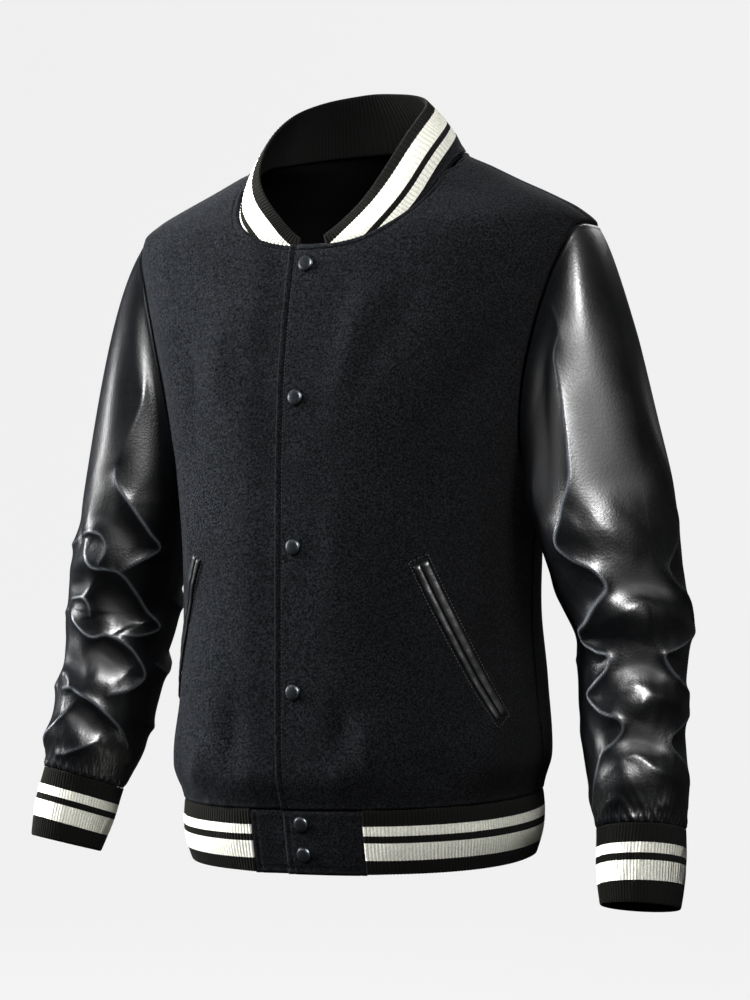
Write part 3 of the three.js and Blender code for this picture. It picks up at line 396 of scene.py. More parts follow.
def smooth_path(points, parts=6):
    """A Catmull-Rom curve through the points."""
    p = np.array(points, float)
    p = np.vstack([2 * p[0] - p[1], p, 2 * p[-1] - p[-2]])
    t = np.linspace(0, 1, parts, endpoint=False)[:, None]
    pieces = []
    for a, b, c, d in zip(p, p[1:], p[2:], p[3:]):
        pieces.append(0.5 * (2 * b + (c - a) * t + (2 * a - 5 * b + 4 * c - d) * t**2 + (3 * b - a - 3 * c + d) * t**3))
    return np.vstack(pieces + [p[-2:-1]])


def crease_lift(creases, radius, angle, z):
    """How far the creases raise the cloth at each angle and level. Each fades in and out at its ends. A sharp
    one is a narrow pinch on a wider swelling. The second result is how near a sharp crest is."""
    total = np.zeros(np.broadcast(angle, z).shape)
    crest = total.copy()
    angle, z = np.broadcast_to(angle, total.shape), np.broadcast_to(z, total.shape)
    for height, width, tip, points in creases:
        path = smooth_path(points)
        near = (z > path[:, 1].min() - 5 * width) & (z < path[:, 1].max() + 5 * width)
        level, round_by = z[near], angle[near]
        nearest = np.full(level.shape, 1e9)
        fade = np.zeros(level.shape)
        ends = np.sin(np.linspace(0, math.pi, len(path))) ** (0.5 if tip < SHARP_TIP else 1.2)
        for i in range(len(path) - 1):
            across = turned(round_by, path[i, 0]) * radius
            step_across = math.radians(path[i + 1, 0] - path[i, 0]) * radius
            up, step_up = level - path[i, 1], path[i + 1, 1] - path[i, 1]
            along = np.clip((across * step_across + up * step_up) / (step_across**2 + step_up**2), 0, 1)
            away = (across - along * step_across) ** 2 + (up - along * step_up) ** 2
            closer = away < nearest
            nearest = np.where(closer, away, nearest)
            fade = np.where(closer, ends[i] + (ends[i + 1] - ends[i]) * along, fade)
        soft = np.exp(-(np.sqrt(nearest + tip**2) - tip) / width)
        if 0 < tip < SHARP_TIP:
            pinch = np.exp(-(np.sqrt(nearest + tip**2) - tip) / (width * PINCH_WIDTH))
            soft = PINCH_SHARE * pinch + (1 - PINCH_SHARE) * np.exp(-nearest / (width * SWELL_WIDTH) ** 2)
            shown = np.clip((SHARP_TIP - tip) / 0.7, 0, 1)
            # the crest mask, along which the leather is painted paler as a painted highlight
            crest[near] = np.maximum(crest[near], shown * fade * np.exp(-nearest / CREST_WIDTH**2))
        total[near] += height * fade * soft
    return total, crest


def line_distance(points, line):
    """How far each point is from a chain of points."""
    nearest = np.full(points.shape[:-1], 1e9)
    for a, b in zip(line, line[1:]):
        way = b - a
        along = np.clip(((points - a) @ way) / max(way @ way, 1e-9), 0, 1)
        away = points - a - along[..., None] * way
        nearest = np.minimum(nearest, (away * away).sum(-1))
    return np.sqrt(nearest)


def seam_relief(away, stitched=True):
    """A seam sinks, swells over its turned-in cloth and dips again under the topstitching."""
    lift = -SEAM_DEPTH * np.exp(-((away / SEAM_WIDTH) ** 2)) + 0.35 * np.exp(-(((away - 3.6) / 1.8) ** 2))
    if stitched:
        lift = lift - STITCH_SINK * np.exp(-(((away - STITCH_FROM_EDGE) / 0.9) ** 2))
    return lift


def edge_rounding(away, radius=EDGE_ROUNDING):
    """0 at a turned edge and 1 a little way in, as the side of a circle."""
    return np.sqrt(1 - (1 - np.clip(away / radius, 0, 1)) ** 2)


def unevenness(angle, z, seed, pitch):
    """Soft irregular waves from -1 to 1, the same on each run."""
    rng = np.random.RandomState(seed)
    total = 0.0
    for _ in range(5):
        round_by, up_by = rng.randint(1, int(2 * math.pi * BODY_RADIUS / pitch)), rng.uniform(-1, 1) / pitch
        total = total + np.sin(angle * round_by + z * up_by * 2 * math.pi + rng.uniform(0, 6.28))
    return total / 3


# ---------------------------------------------------------------- meshes

METRES = 0.001


def grid_normals(grid, closed):
    """Outward directions of a grid of points; closed says that the last column meets the first."""
    along = np.roll(grid, -1, 1) - np.roll(grid, 1, 1) if closed else np.gradient(grid, axis=1)
    return unit(np.cross(along, np.gradient(grid, axis=0)))


def outward(grid, normals, middle):
    """Turns the directions away from a middle line up through the grid."""
    away = grid - np.broadcast_to(middle, grid.shape)
    return normals if (away * normals).sum() > 0 else -normals


def shell_mesh(name, outer, inner, closed=False, thin=(1, 1), values=None):
    """A closed cloth wall between two grids of the same shape. The inner one keeps every nth row and
    column, and its faces take the second material. values are numbers stored at each point."""
    inner = inner[:: thin[0], :: thin[1]]
    o = np.arange(outer.shape[0] * outer.shape[1]).reshape(outer.shape[:2])
    n = o.size + np.arange(inner.shape[0] * inner.shape[1]).reshape(inner.shape[:2])

    def skin(k):
        right = np.roll(k, -1, 1) if closed else k[:, 1:]
        left = k if closed else k[:, :-1]
        return np.stack([left[:-1], right[:-1], right[1:], left[1:]], -1).reshape(-1, 4)

    faces = skin(o).tolist() + skin(n)[:, ::-1].tolist()
    outer_count, inner_count = len(skin(o)), len(skin(n))

    def rim(a, b, ratio, wrap):
        spans = len(b) if wrap else len(b) - 1
        for i in range(spans):
            row = [a[(i * ratio + j) % len(a)] for j in range(ratio + 1)]
            faces.append([int(b[i])] + [int(v) for v in row] + [int(b[(i + 1) % len(b)])])

    rim(o[0], n[0], thin[1], closed)
    rim(o[-1], n[-1], thin[1], closed)
    if not closed:
        rim(o[:, 0], n[:, 0], thin[0], False)
        rim(o[:, -1], n[:, -1], thin[0], False)
    mesh = bpy.data.meshes.new(name)
    mesh.from_pydata((np.concatenate([outer.reshape(-1, 3), inner.reshape(-1, 3)]) * METRES).tolist(), [], faces)
    for key, grid in (values or {}).items():
        layer = mesh.attributes.new(key, "FLOAT", "POINT")
        both = np.concatenate([grid.ravel(), grid[:: thin[0], :: thin[1]].ravel()])
        layer.data.foreach_set("value", both.astype(np.float32))
    slots = np.zeros(len(faces), np.int32)
    slots[outer_count : outer_count + inner_count + n.shape[1] - (not closed)] = 1
    mesh.polygons.foreach_set("material_index", slots)
    work = bmesh.new()
    work.from_mesh(mesh)
    bmesh.ops.recalc_face_normals(work, faces=work.faces)
    work.to_mesh(mesh)
    work.free()
    mesh.polygons.foreach_set("use_smooth", np.ones(len(faces), bool))
    return mesh


def add_piece(name, mesh, materials, replaces=()):
    """Puts a mesh in the scene as a piece that rides on the jacket's one body."""
    for material in materials:
        mesh.materials.append(material)
    piece = bpy.data.objects.new(name, mesh)
    bpy.context.scene.collection.objects.link(piece)
    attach(piece, "root")
    if replaces:
        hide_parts(*replaces)
    return piece


# ---------------------------------------------------------------- wool panels

PANEL_COLUMNS, ROWS_TO_ARMPIT, ROWS_ABOVE, NECK_SHARE = 22, 14, 20, 12
EVENING_PASSES = 24
# Distances in from a sewn edge, in millimetres, at which a panel has extra rows
SEWN_ROWS = [0, 0.5, 1.0, 1.6, 2.3, 3.1, 4.0, 4.9, 5.5, 6.0, 6.5, 7.0, 7.5, 8.2, 9.4, 11.2]


def neck_start(edge_x):
    return math.degrees(math.copysign(math.asin((abs(edge_x) / NECK_HALF) ** (NECK_SQUARE / 2)), edge_x))


def half_panel(behind, edge_x):
    """Ring angles and levels of half a body panel, from the middle out to the side."""

    def edge(z):
        a = np.sign(edge_x) * angle_at(abs(edge_x), z)
        return math.pi - a if behind else a

    first = 180.0 if behind else neck_start(edge_x)
    top_z = float(neckline(first)[1])
    low = np.linspace(HEM_SEAM_Z, ARMPIT_Z, ROWS_TO_ARMPIT + 1)
    high = np.linspace(0, 1, ROWS_ABOVE + 1)[1:]
    z = np.concatenate([low, ARMPIT_Z + (top_z - ARMPIT_Z) * high])
    start = np.stack([edge(z), z], -1)
    end = np.concatenate([np.stack([0 * low + math.pi / 2, low], -1), armhole(180 * (1 - high), behind)])
    neck = neckline(np.linspace(first, 90, NECK_SHARE + 1))
    out = np.linspace(0, SHOULDER_TIP_Z, PANEL_COLUMNS - NECK_SHARE + 1)[1:]
    top = np.concatenate([neck, np.stack([0 * out + math.pi / 2, out], -1)])
    across = np.linspace(0, 1, PANEL_COLUMNS + 1)
    bottom_start = float(edge(np.array(HEM_SEAM_Z)))
    bottom = np.stack([bottom_start + (math.pi / 2 - bottom_start) * across, 0 * across + HEM_SEAM_Z], -1)
    return fill_patch(bottom, top, start, end)


def fill_patch(bottom, top, start, end):
    """Fills the space between four edges and evens it out along the body."""
    b, t, s, e = [body_ring(p[:, 0], p[:, 1])[0] for p in (bottom, top, start, end)]
    u = np.linspace(0, 1, len(b))[None, :, None]
    v = np.linspace(0, 1, len(s))[:, None, None]
    grid = b * (1 - v) + t * v + s[:, None] * (1 - u) + e[:, None] * u
    grid = grid - b[0] * (1 - u) * (1 - v) - b[-1] * u * (1 - v) - t[0] * (1 - u) * v - t[-1] * u * v
    place = ring_place(grid)
    place[0], place[-1], place[:, 0], place[:, -1] = bottom, top, start, end
    for _ in range(EVENING_PASSES):
        grid = body_ring(place[..., 0], place[..., 1])[0]
        near = (grid[:-2, 1:-1] + grid[2:, 1:-1] + grid[1:-1, :-2] + grid[1:-1, 2:]) / 4
        place[1:-1, 1:-1] = ring_place(near)
    return place


def spread(length, step, sewn_start, sewn_end):
    """Shares from 0 to 1 along a length, closer together by a sewn edge."""
    start = list(SEWN_ROWS) if sewn_start else [0.0]
    end = [length - d for d in SEWN_ROWS][::-1] if sewn_end else [length]
    count = max(int(round((end[0] - start[-1]) / step)), 2)
    between = np.linspace(start[-1], end[0], count + 1)[1:-1]
    return np.concatenate([start, between, end]) / length


def finer(place, rows, columns):
    """A finer grid of ring places through a coarse one, at shares of its rows and columns."""

    def along(values, shares):
        n = len(values) - 1
        at = np.clip(shares * n, 0, n - 1e-9)
        i = at.astype(int)
        t = (at - i)[:, None, None]
        padded = np.concatenate([2 * values[:1] - values[1:2], values, 2 * values[-1:] - values[-2:-1]])
        a, b, c, d = [padded[i + k] for k in range(4)]
        return 0.5 * (2 * b + (c - a) * t + (2 * a - 5 * b + 4 * c - d) * t**2 + (3 * b - a - 3 * c + d) * t**3)

    return along(along(place, rows).swapaxes(0, 1), columns).swapaxes(0, 1)


def on_body(x, z, lap=0.0, behind=False):
    """The place and outward direction of the body at a sideways place and level."""
    x, z = np.asarray(x, float), np.asarray(z, float)
    level = z.copy()
    for _ in range(4):
        level = z - HEM_SLANT * (1 - ease(HEM_SEAM_Z, SLANT_TOP_Z, level)) * x
    return body_surface(angle_at(x, level, behind), level, lap)


def body_detail(angle, z):
    """Lift of the body's creases and of the puckers that the hem band draws in."""
    soft, _ = crease_lift(BODY_CREASES, BODY_RADIUS, angle, z)
    by_middle = ease(26, 50, np.abs(np.sin(angle)) * 190 + np.where(np.cos(angle) < 0, 99, 0))
    above = np.maximum(z - HEM_SEAM_Z, 0)
    pucker = (HEM_PUCKER * unevenness(angle, z, 5, 16.0) * np.exp(-above / HEM_PUCKER_REACH)
              * ease(-6, 0, z - HEM_SEAM_Z))
    pucker = pucker * (0.25 + 0.75 * ease(0, 7, above))
    return FOLD_DEPTH * soft * by_middle + pucker * by_middle


def body_surface(angle, z, lap=0.0, lift=0.0):
    """The body's outer face with all its folds, and its outward direction."""
    here = body_point(angle, z, lap, body_detail(angle, z) + lift)
    round_by = body_point(angle + 0.004, z, lap) - body_point(angle - 0.004, z, lap)
    up = body_point(angle, z + 0.5, lap) - body_point(angle, z - 0.5, lap)
    return here, unit(np.cross(round_by, up))


def wool_panel(name, place, borders, lap, materials, node):
    """A panel of wool. borders names its edges: each is its chain of ring places, whether it is
    stitched, and whether it is a turned edge that stands free."""
    base, normal = body_surface(place[..., 0], place[..., 1], lap)
    lift = np.zeros(base.shape[:2])
    body = np.ones(base.shape[:2])
    for chain, stitched, free in borders:
        away = line_distance(base, body_surface(chain[:, 0], chain[:, 1], lap)[0])
        if free:
            trench = EDGE_TRENCH * np.exp(-(((away - STITCH_FROM_EDGE) / 1.3) ** 2))
            lift += EDGE_RISE * np.exp(-((away / 5) ** 2)) - trench
        else:
            lift += seam_relief(away, stitched)
        body *= edge_rounding(away) * 0.8 + 0.2 if free else 1
    half = WOOL_THICK / 2 * body
    outer = base + normal * (lift - WOOL_THICK / 2 + half)[..., None]
    inner = base + normal * (-WOOL_THICK / 2 - half)[..., None]
    return add_piece(name, shell_mesh(name, outer, inner), materials, [node])


# ---------------------------------------------------------------- materials


def linear(hex_colour):
    """A colour written as sRGB hex, as the linear numbers that shaders take."""
    parts = [int(hex_colour[i : i + 2], 16) / 255 for i in (1, 3, 5)]
    return [c / 12.92 if c <= 0.04045 else ((c + 0.055) / 1.055) ** 2.4 for c in parts] + [1.0]


def add_node(tree, kind, settings=None, links=None):
    """Adds a node with its settings. stops fills a colour ramp, and links fills the inputs with plain values
    or other nodes' outputs."""
    made = tree.nodes.new(kind)
    for key, value in (settings or {}).items():
        if key == "stops":
            while len(made.color_ramp.elements) < len(value):
                made.color_ramp.elements.new(1.0)
            for element, (place, colour) in zip(made.color_ramp.elements, value):
                element.position, element.color = place, colour
        elif key == "interpolation":
            made.color_ramp.interpolation = value
        else:
            setattr(made, key, value)
    for key, value in (links or {}).items():
        if isinstance(value, bpy.types.NodeSocket):
            tree.links.new(value, made.inputs[key])
        else:
            made.inputs[key].default_value = value
    return made


def new_material(name):
    """An empty material, its node tree, and the place of each point in the jacket's own space."""
    material = bpy.data.materials.new(name)
    material.use_nodes = True
    tree = material.node_tree
    tree.nodes.clear()
    return material, tree, add_node(tree, "ShaderNodeTexCoord").outputs["Object"]


def scaled(hex_colour, by):
    r, g, b, a = linear(hex_colour)
    return [r * by, g * by, b * by, a]


def grey(value):
    return (value, value, value, 1)


def melton_wool(colour):
    """Melton: woollen cloth fulled and brushed to a short matt nap, so its grain is a soft salt-and-pepper
    mottle without a weave, and it has no gloss, only a faint sheen where the nap is seen edge on. The real
    nap is finer than 1 mm. It is drawn 1.75 mm coarse so that it shows."""
    material, tree, place = new_material("Melton wool")
    nap = add_node(tree, "ShaderNodeTexNoise", links={
        "Vector": place, "Scale": 1000 / 1.75, "Detail": 3.0, "Roughness": 0.8}).outputs["Fac"]
    tuft = add_node(tree, "ShaderNodeTexNoise", links={
        "Vector": place, "Scale": 1000 / 4.5, "Detail": 3.0, "Roughness": 0.6}).outputs["Fac"]
    wear = add_node(tree, "ShaderNodeTexNoise", links={
        "Vector": place, "Scale": 1000 / 70.0, "Detail": 3.0, "Roughness": 0.55}).outputs["Fac"]
    tufts = add_node(tree, "ShaderNodeMath", {"operation": "MULTIPLY"}, {0: tuft, 1: 0.1}).outputs[0]
    mottle = add_node(tree, "ShaderNodeMath", {"operation": "MULTIPLY_ADD"}, {0: nap, 1: 0.9, 2: tufts}).outputs[0]
    base = add_node(tree, "ShaderNodeValToRGB", {
        "stops": [(0.41, scaled(colour, 0.04)), (0.5, scaled(colour, 0.9)), (0.59, scaled(colour, 2.8))]},
        {"Fac": mottle}).outputs["Color"]
    shade = add_node(tree, "ShaderNodeValToRGB", {"stops": [(0.3, grey(0.86)), (0.7, grey(1.12))]},
                     {"Fac": wear}).outputs["Color"]
    mixed = add_node(tree, "ShaderNodeMix", {"data_type": "RGBA", "blend_type": "MULTIPLY"},
                     {"Factor": 1.0, 6: base, 7: shade}).outputs[2]
    under = add_node(tree, "ShaderNodeBump", links={
        "Height": tuft, "Distance": 0.5 * METRES, "Strength": 0.35}).outputs["Normal"]
    normal = add_node(tree, "ShaderNodeBump", links={
        "Height": nap, "Distance": 0.35 * METRES, "Strength": 0.6, "Normal": under}).outputs["Normal"]
    shader = add_node(tree, "ShaderNodeBsdfPrincipled", links={
        "Base Color": mixed, "Roughness": 0.95, "IOR": 1.54, "Specular IOR Level": 0.05, "Sheen Weight": 0.03,
        "Sheen Roughness": 0.5, "Sheen Tint": linear("#8d929b"), "Normal": normal})
    add_node(tree, "ShaderNodeOutputMaterial", links={"Surface": shader.outputs[0]})
    return material


def sleeve_leather(colour):
    """Polyurethane leather: a coated cloth embossed with a fine pebble grain. The film is glossy on sharp
    creases and duller in the hollows where it is flexed. A paler colour is painted along the sharp creases as a
    painted highlight, so its highlights are crisp lines in the folds and broad and grainy over the upper arm."""
    material, tree, place = new_material("PU leather")
    pebble = add_node(tree, "ShaderNodeTexVoronoi", {"feature": "SMOOTH_F1"}, {
        "Vector": place, "Scale": 1000 / 2.6, "Smoothness": 0.6, "Randomness": 0.9}).outputs["Distance"]
    fine = add_node(tree, "ShaderNodeTexNoise", links={
        "Vector": place, "Scale": 1000 / 1.8, "Detail": 3.0, "Roughness": 0.6}).outputs["Fac"]
    wrinkle = add_node(tree, "ShaderNodeTexNoise", links={
        "Vector": place, "Scale": 1000 / 11.0, "Detail": 4.0, "Roughness": 0.62, "Distortion": 0.6}).outputs["Fac"]
    patch = add_node(tree, "ShaderNodeTexNoise", links={
        "Vector": place, "Scale": 1000 / 60.0, "Detail": 3.0, "Roughness": 0.5}).outputs["Fac"]
    gloss = add_node(tree, "ShaderNodeValToRGB", {"stops": [(0.3, grey(0.21)), (0.72, grey(0.31))]},
                     {"Fac": patch}).outputs["Color"]
    grainy = add_node(tree, "ShaderNodeMath", {"operation": "MULTIPLY_ADD"}, {0: fine, 1: 0.16, 2: gloss}).outputs[0]
    hollow = add_node(tree, "ShaderNodeAttribute", {"attribute_name": "hollow"}).outputs["Fac"]
    rough = add_node(tree, "ShaderNodeMath", {"operation": "MULTIPLY_ADD"}, {0: hollow, 1: 0.4, 2: grainy}).outputs[0]
    film = add_node(tree, "ShaderNodeValToRGB", {"stops": [(0.3, scaled(colour, 0.7)), (0.7, scaled(colour, 1.3))]},
                    {"Fac": wrinkle}).outputs["Color"]
    crest = add_node(tree, "ShaderNodeAttribute", {"attribute_name": "crest"}).outputs["Fac"]
    uneven = add_node(tree, "ShaderNodeValToRGB", {"stops": [(0.35, grey(0.45)), (0.6, grey(1))]},
                      {"Fac": patch}).outputs["Color"]
    # painted highlight: the paler colour follows the sharp crests, in uneven patches
    crest_highlight_paint = add_node(tree, "ShaderNodeMath", {"operation": "MULTIPLY"}, {0: crest, 1: uneven}).outputs[0]
    base = add_node(tree, "ShaderNodeMix", {"data_type": "RGBA"},
                    {"Factor": crest_highlight_paint, 6: film, 7: linear(PAINTED_CREST_HIGHLIGHT_COLOUR)}).outputs[2]
    normal = add_node(tree, "ShaderNodeBump", links={
        "Height": wrinkle, "Distance": 0.4 * METRES, "Strength": 0.2}).outputs["Normal"]
    normal = add_node(tree, "ShaderNodeBump", links={
        "Height": pebble, "Distance": 0.22 * METRES, "Strength": 0.4, "Normal": normal}).outputs["Normal"]
    normal = add_node(tree, "ShaderNodeBump", links={
        "Height": fine, "Distance": 0.16 * METRES, "Strength": 0.5, "Normal": normal}).outputs["Normal"]
    shader = add_node(tree, "ShaderNodeBsdfPrincipled", links={
        "Base Color": base, "Roughness": rough, "IOR": 1.5, "Specular IOR Level": 0.55, "Normal": normal})
    add_node(tree, "ShaderNodeOutputMaterial", links={"Surface": shader.outputs[0]})
    return material


def rib_knit(name, black, white, white_bands=(), span=64.0):
    """Rib knit: heavy acrylic yarn in wales about 3 mm apart. The wales are raised in the mesh. The yarn is
    matt and slightly hairy, with a course every 1.6 mm, and it is painted darker between the wales as painted
    shade. white_bands are the knitted-in stripes, as millimetres from the stripe edge of the piece."""
    material, tree, place = new_material(name)
    away = add_node(tree, "ShaderNodeAttribute", {"attribute_name": "from_edge"}).outputs["Fac"]
    crest = add_node(tree, "ShaderNodeAttribute", {"attribute_name": "crest"}).outputs["Fac"]
    yarn = add_node(tree, "ShaderNodeTexNoise", links={
        "Vector": place, "Scale": 1000 / 1.6, "Detail": 3.0, "Roughness": 0.7}).outputs["Fac"]
    tone = add_node(tree, "ShaderNodeValToRGB", {"stops": [(0.32, grey(0.72)), (0.7, grey(1.1))]},
                    {"Fac": yarn}).outputs["Color"]
    # painted shade: the ground colour falls to about a third between the wales
    colour = add_node(tree, "ShaderNodeValToRGB", {"stops": [(0.0, scaled(black, 0.35)), (0.75, linear(black))]},
                      {"Fac": crest}).outputs["Color"]
    if white_bands:
        # painted shade: the stripes' white falls to 0.72 between the wales
        light = add_node(tree, "ShaderNodeValToRGB", {
            "stops": [(0.0, scaled(white, 0.72)), (0.4, scaled(white, 0.93)), (0.85, linear(white))]},
            {"Fac": crest}).outputs["Color"]
        share = add_node(tree, "ShaderNodeMath", {"operation": "DIVIDE"}, {0: away, 1: span}).outputs[0]
        stops = [(0.0, grey(0))]
        for start, end in white_bands:
            stops += [(start / span, grey(1)), (end / span, grey(0))]
        stripe = add_node(tree, "ShaderNodeValToRGB", {"interpolation": "CONSTANT", "stops": stops},
                          {"Fac": share}).outputs["Color"]
        colour = add_node(tree, "ShaderNodeMix", {"data_type": "RGBA"},
                          {"Factor": stripe, 6: colour, 7: light}).outputs[2]
    mixed = add_node(tree, "ShaderNodeMix", {"data_type": "RGBA", "blend_type": "MULTIPLY"},
                     {"Factor": 1.0, 6: colour, 7: tone}).outputs[2]
    turns = add_node(tree, "ShaderNodeMath", {"operation": "MULTIPLY"}, {0: away, 1: 2 * math.pi / 1.6}).outputs[0]
    course = add_node(tree, "ShaderNodeMath", {"operation": "SINE"}, {0: turns}).outputs[0]
    normal = add_node(tree, "ShaderNodeBump", links={
        "Height": course, "Distance": 0.12 * METRES, "Strength": 0.35}).outputs["Normal"]
    normal = add_node(tree, "ShaderNodeBump", links={
        "Height": yarn, "Distance": 0.2 * METRES, "Strength": 0.4, "Normal": normal}).outputs["Normal"]
    shader = add_node(tree, "ShaderNodeBsdfPrincipled", links={
        "Base Color": mixed, "Roughness": 0.9, "IOR": 1.5, "Specular IOR Level": 0.06, "Sheen Weight": 0.03,
        "Sheen Roughness": 0.5, "Normal": normal})
    add_node(tree, "ShaderNodeOutputMaterial", links={"Surface": shader.outputs[0]})
    return material


def body_lining(colour):
    """Lining: black polyester twill, smooth and a little lustrous, so it stays near black inside."""
    material, tree, place = new_material("Twill lining")
    twill = add_node(tree, "ShaderNodeTexWave", {"bands_direction": "DIAGONAL"}, {
        "Vector": place, "Scale": 1000 / 2.4 / 6.283, "Distortion": 0.4, "Detail": 1.0}).outputs["Fac"]
    slub = add_node(tree, "ShaderNodeTexNoise", links={
        "Vector": place, "Scale": 1000 / 14.0, "Detail": 3.0, "Roughness": 0.55}).outputs["Fac"]
    base = add_node(tree, "ShaderNodeValToRGB", {"stops": [(0.3, scaled(colour, 0.7)), (0.7, scaled(colour, 1.3))]},
                    {"Fac": slub}).outputs["Color"]
    normal = add_node(tree, "ShaderNodeBump", links={
        "Height": twill, "Distance": 0.1 * METRES, "Strength": 0.3}).outputs["Normal"]
    normal = add_node(tree, "ShaderNodeBump", links={
        "Height": slub, "Distance": 0.4 * METRES, "Strength": 0.15, "Normal": normal}).outputs["Normal"]
    shader = add_node(tree, "ShaderNodeBsdfPrincipled", links={
        "Base Color": base, "Roughness": 0.6, "IOR": 1.5, "Specular IOR Level": 0.08, "Normal": normal})
    add_node(tree, "ShaderNodeOutputMaterial", links={"Surface": shader.outputs[0]})
    return material


def snap_metal(colour):
    """Gunmetal: brass cap stamped and plated near black, satin on top, so it takes a small soft highlight and
    shows brighter metal where the dome's plating wears thin.
    The rim is painted almost black as painted shadow."""
    material, tree, place = new_material("Gunmetal plating")
    rub = add_node(tree, "ShaderNodeTexNoise", links={
        "Vector": place, "Scale": 1000 / 1.4, "Detail": 3.0, "Roughness": 0.6}).outputs["Fac"]
    edge = add_node(tree, "ShaderNodeAttribute", {"attribute_name": "crest"}).outputs["Fac"]
    plating_wear_and_painted_rim_shadow = add_node(tree, "ShaderNodeMath", {"operation": "MULTIPLY"}, {0: edge, 1: rub}).outputs[0]
    # painted shadow: where the wear is 0, on the rim, the plating is almost black
    base = add_node(tree, "ShaderNodeValToRGB", {
        "stops": [(0.02, scaled(colour, 0.06)), (0.16, scaled(colour, 1.2)), (0.7, scaled(colour, 3.4))]},
        {"Fac": plating_wear_and_painted_rim_shadow}).outputs["Color"]
    rough = add_node(tree, "ShaderNodeValToRGB", {"stops": [(0.3, grey(0.3)), (0.7, grey(0.44))]},
                     {"Fac": rub}).outputs["Color"]
    normal = add_node(tree, "ShaderNodeBump", links={
        "Height": rub, "Distance": 0.03 * METRES, "Strength": 0.3}).outputs["Normal"]
    shader = add_node(tree, "ShaderNodeBsdfPrincipled", links={
        "Base Color": base, "Metallic": 0.85, "Roughness": rough, "Normal": normal})
    add_node(tree, "ShaderNodeOutputMaterial", links={"Surface": shader.outputs[0]})
    return material


def sewing_thread(colour):
    """Sewing thread: bonded polyester in the cloth's colour, with a slight gloss and twist."""
    material, tree, place = new_material("Polyester thread")
    twist = add_node(tree, "ShaderNodeTexNoise", links={
        "Vector": place, "Scale": 1000 / 0.8, "Detail": 2.0, "Roughness": 0.55}).outputs["Fac"]
    base = add_node(tree, "ShaderNodeValToRGB", {"stops": [(0.3, scaled(colour, 0.6)), (0.7, scaled(colour, 1.5))]},
                    {"Fac": twist}).outputs["Color"]
    normal = add_node(tree, "ShaderNodeBump", links={
        "Height": twist, "Distance": 0.08 * METRES, "Strength": 0.4}).outputs["Normal"]
    shader = add_node(tree, "ShaderNodeBsdfPrincipled", links={
        "Base Color": base, "Roughness": 0.55, "IOR": 1.5, "Normal": normal})
    add_node(tree, "ShaderNodeOutputMaterial", links={"Surface": shader.outputs[0]})
    return material


def studio_paper(colour):
    """Studio paper: a matt seamless sheet that glows evenly, so it looks the same behind every side."""
    material, tree, place = new_material("Seamless paper")
    fibre = add_node(tree, "ShaderNodeTexNoise", links={
        "Vector": place, "Scale": 1000 / 900.0, "Detail": 2.0, "Roughness": 0.55}).outputs["Fac"]
    glow = add_node(tree, "ShaderNodeValToRGB", {"stops": [(0.3, scaled(colour, 0.998)), (0.7, linear(colour))]},
                    {"Fac": fibre}).outputs["Color"]
    shader = add_node(tree, "ShaderNodeBsdfPrincipled", links={
        "Base Color": scaled(colour, 0.02), "Roughness": 1.0, "Specular IOR Level": 0.0, "Emission Color": glow,
        "Emission Strength": PAPER_GLOW})
    add_node(tree, "ShaderNodeOutputMaterial", links={"Surface": shader.outputs[0]})
    return material


# ---------------------------------------------------------------- pieces

# Folds of the sleeves' own form: level, degrees round, fall of the ends, width, height, reach
LEFT_SLEEVE_FOLDS = [
    (-352, 70, 24, 13, 3.6, 95), (-398, 200, 30, 13, 4.0, 110), (-424, 52, 30, 12, 6.0, 100),
    (-462, 215, 26, 12, 4.4, 110), (-500, 48, 26, 12, 6.4, 105), (-530, 220, 20, 11, 4.4, 110),
    (-560, 52, 30, 12, 6.0, 110), (-592, 205, 14, 10, 4.2, 120),
]
RIGHT_SLEEVE_FOLDS = [
    (-350, 112, 28, 13, 4.4, 95), (-392, 92, 30, 12, 6.2, 100), (-424, 262, 26, 13, 4.0, 100),
    (-452, 96, 34, 13, 6.6, 105), (-494, 268, 24, 12, 4.4, 105), (-512, 92, 32, 12, 6.4, 110),
    (-566, 90, 28, 12, 5.6, 110), (-590, 265, 14, 10, 4.2, 120),
]
FOLD_SHARE = 0.4  # of the folds' height, because the creases carry the rest
SLEEVE_COLUMNS, CAP_ROWS, TUBE_ROWS = 264, 76, 188
CUFF_PUCKER, CUFF_PUCKER_REACH = 1.3, 12.0

RIB_HEIGHT = 0.8
COLLAR_LEAN_X, COLLAR_GAP, COLLAR_LIFT, COLLAR_BOW = -13.0, 1.15, 0.7, 0.09
COLLAR_LEFT_END, COLLAR_RIGHT_END = 6.0, -3.2
COLLAR_TUCK = 4.0  # of the foot behind the wool
FACING_FROM_RIM = 44.3
NECK_MIDDLE = np.array([0.0, -20.0, -10.0])
BAND_BULGE, BAND_SINK, BAND_END = 3.0, 0.35, 0.03
BAND_TUCK, BAND_TUCK_SINK, BAND_TUCK_REACH = 1.6, 1.5, 2.0
CUFF_BOW, CUFF_SINK = 1.2, 1.0

# White stripes, in millimetres from the collar's free edge and from the seam of the cuffs and hem band
COLLAR_STRIPES = [(11.0, 29.0), (34.5, 44.0)]
CUFF_STRIPES = [(17.0, 26.0), (32.2, 49.2)]
BAND_STRIPES = [(16.0, 24.8), (31.6, 48.4)]

SNAP_RADIUS, SNAP_HEIGHT = 7.8, 3.6
PLACKET_SNAP_Z = [-109.0, -233.0, -370.0, -503.0]
TAB_SNAP_Z = [-626.0, -655.0]
PIECE_LIFT = 0.5
POCKET_TOP, POCKET_END = (117.0, -383.0), (173.0, -524.0)
WELT_GAP = 1.4
WELT_WIDTHS = {"front": 5.6, "rear": 7.0}
WELT_THICK = 2.0


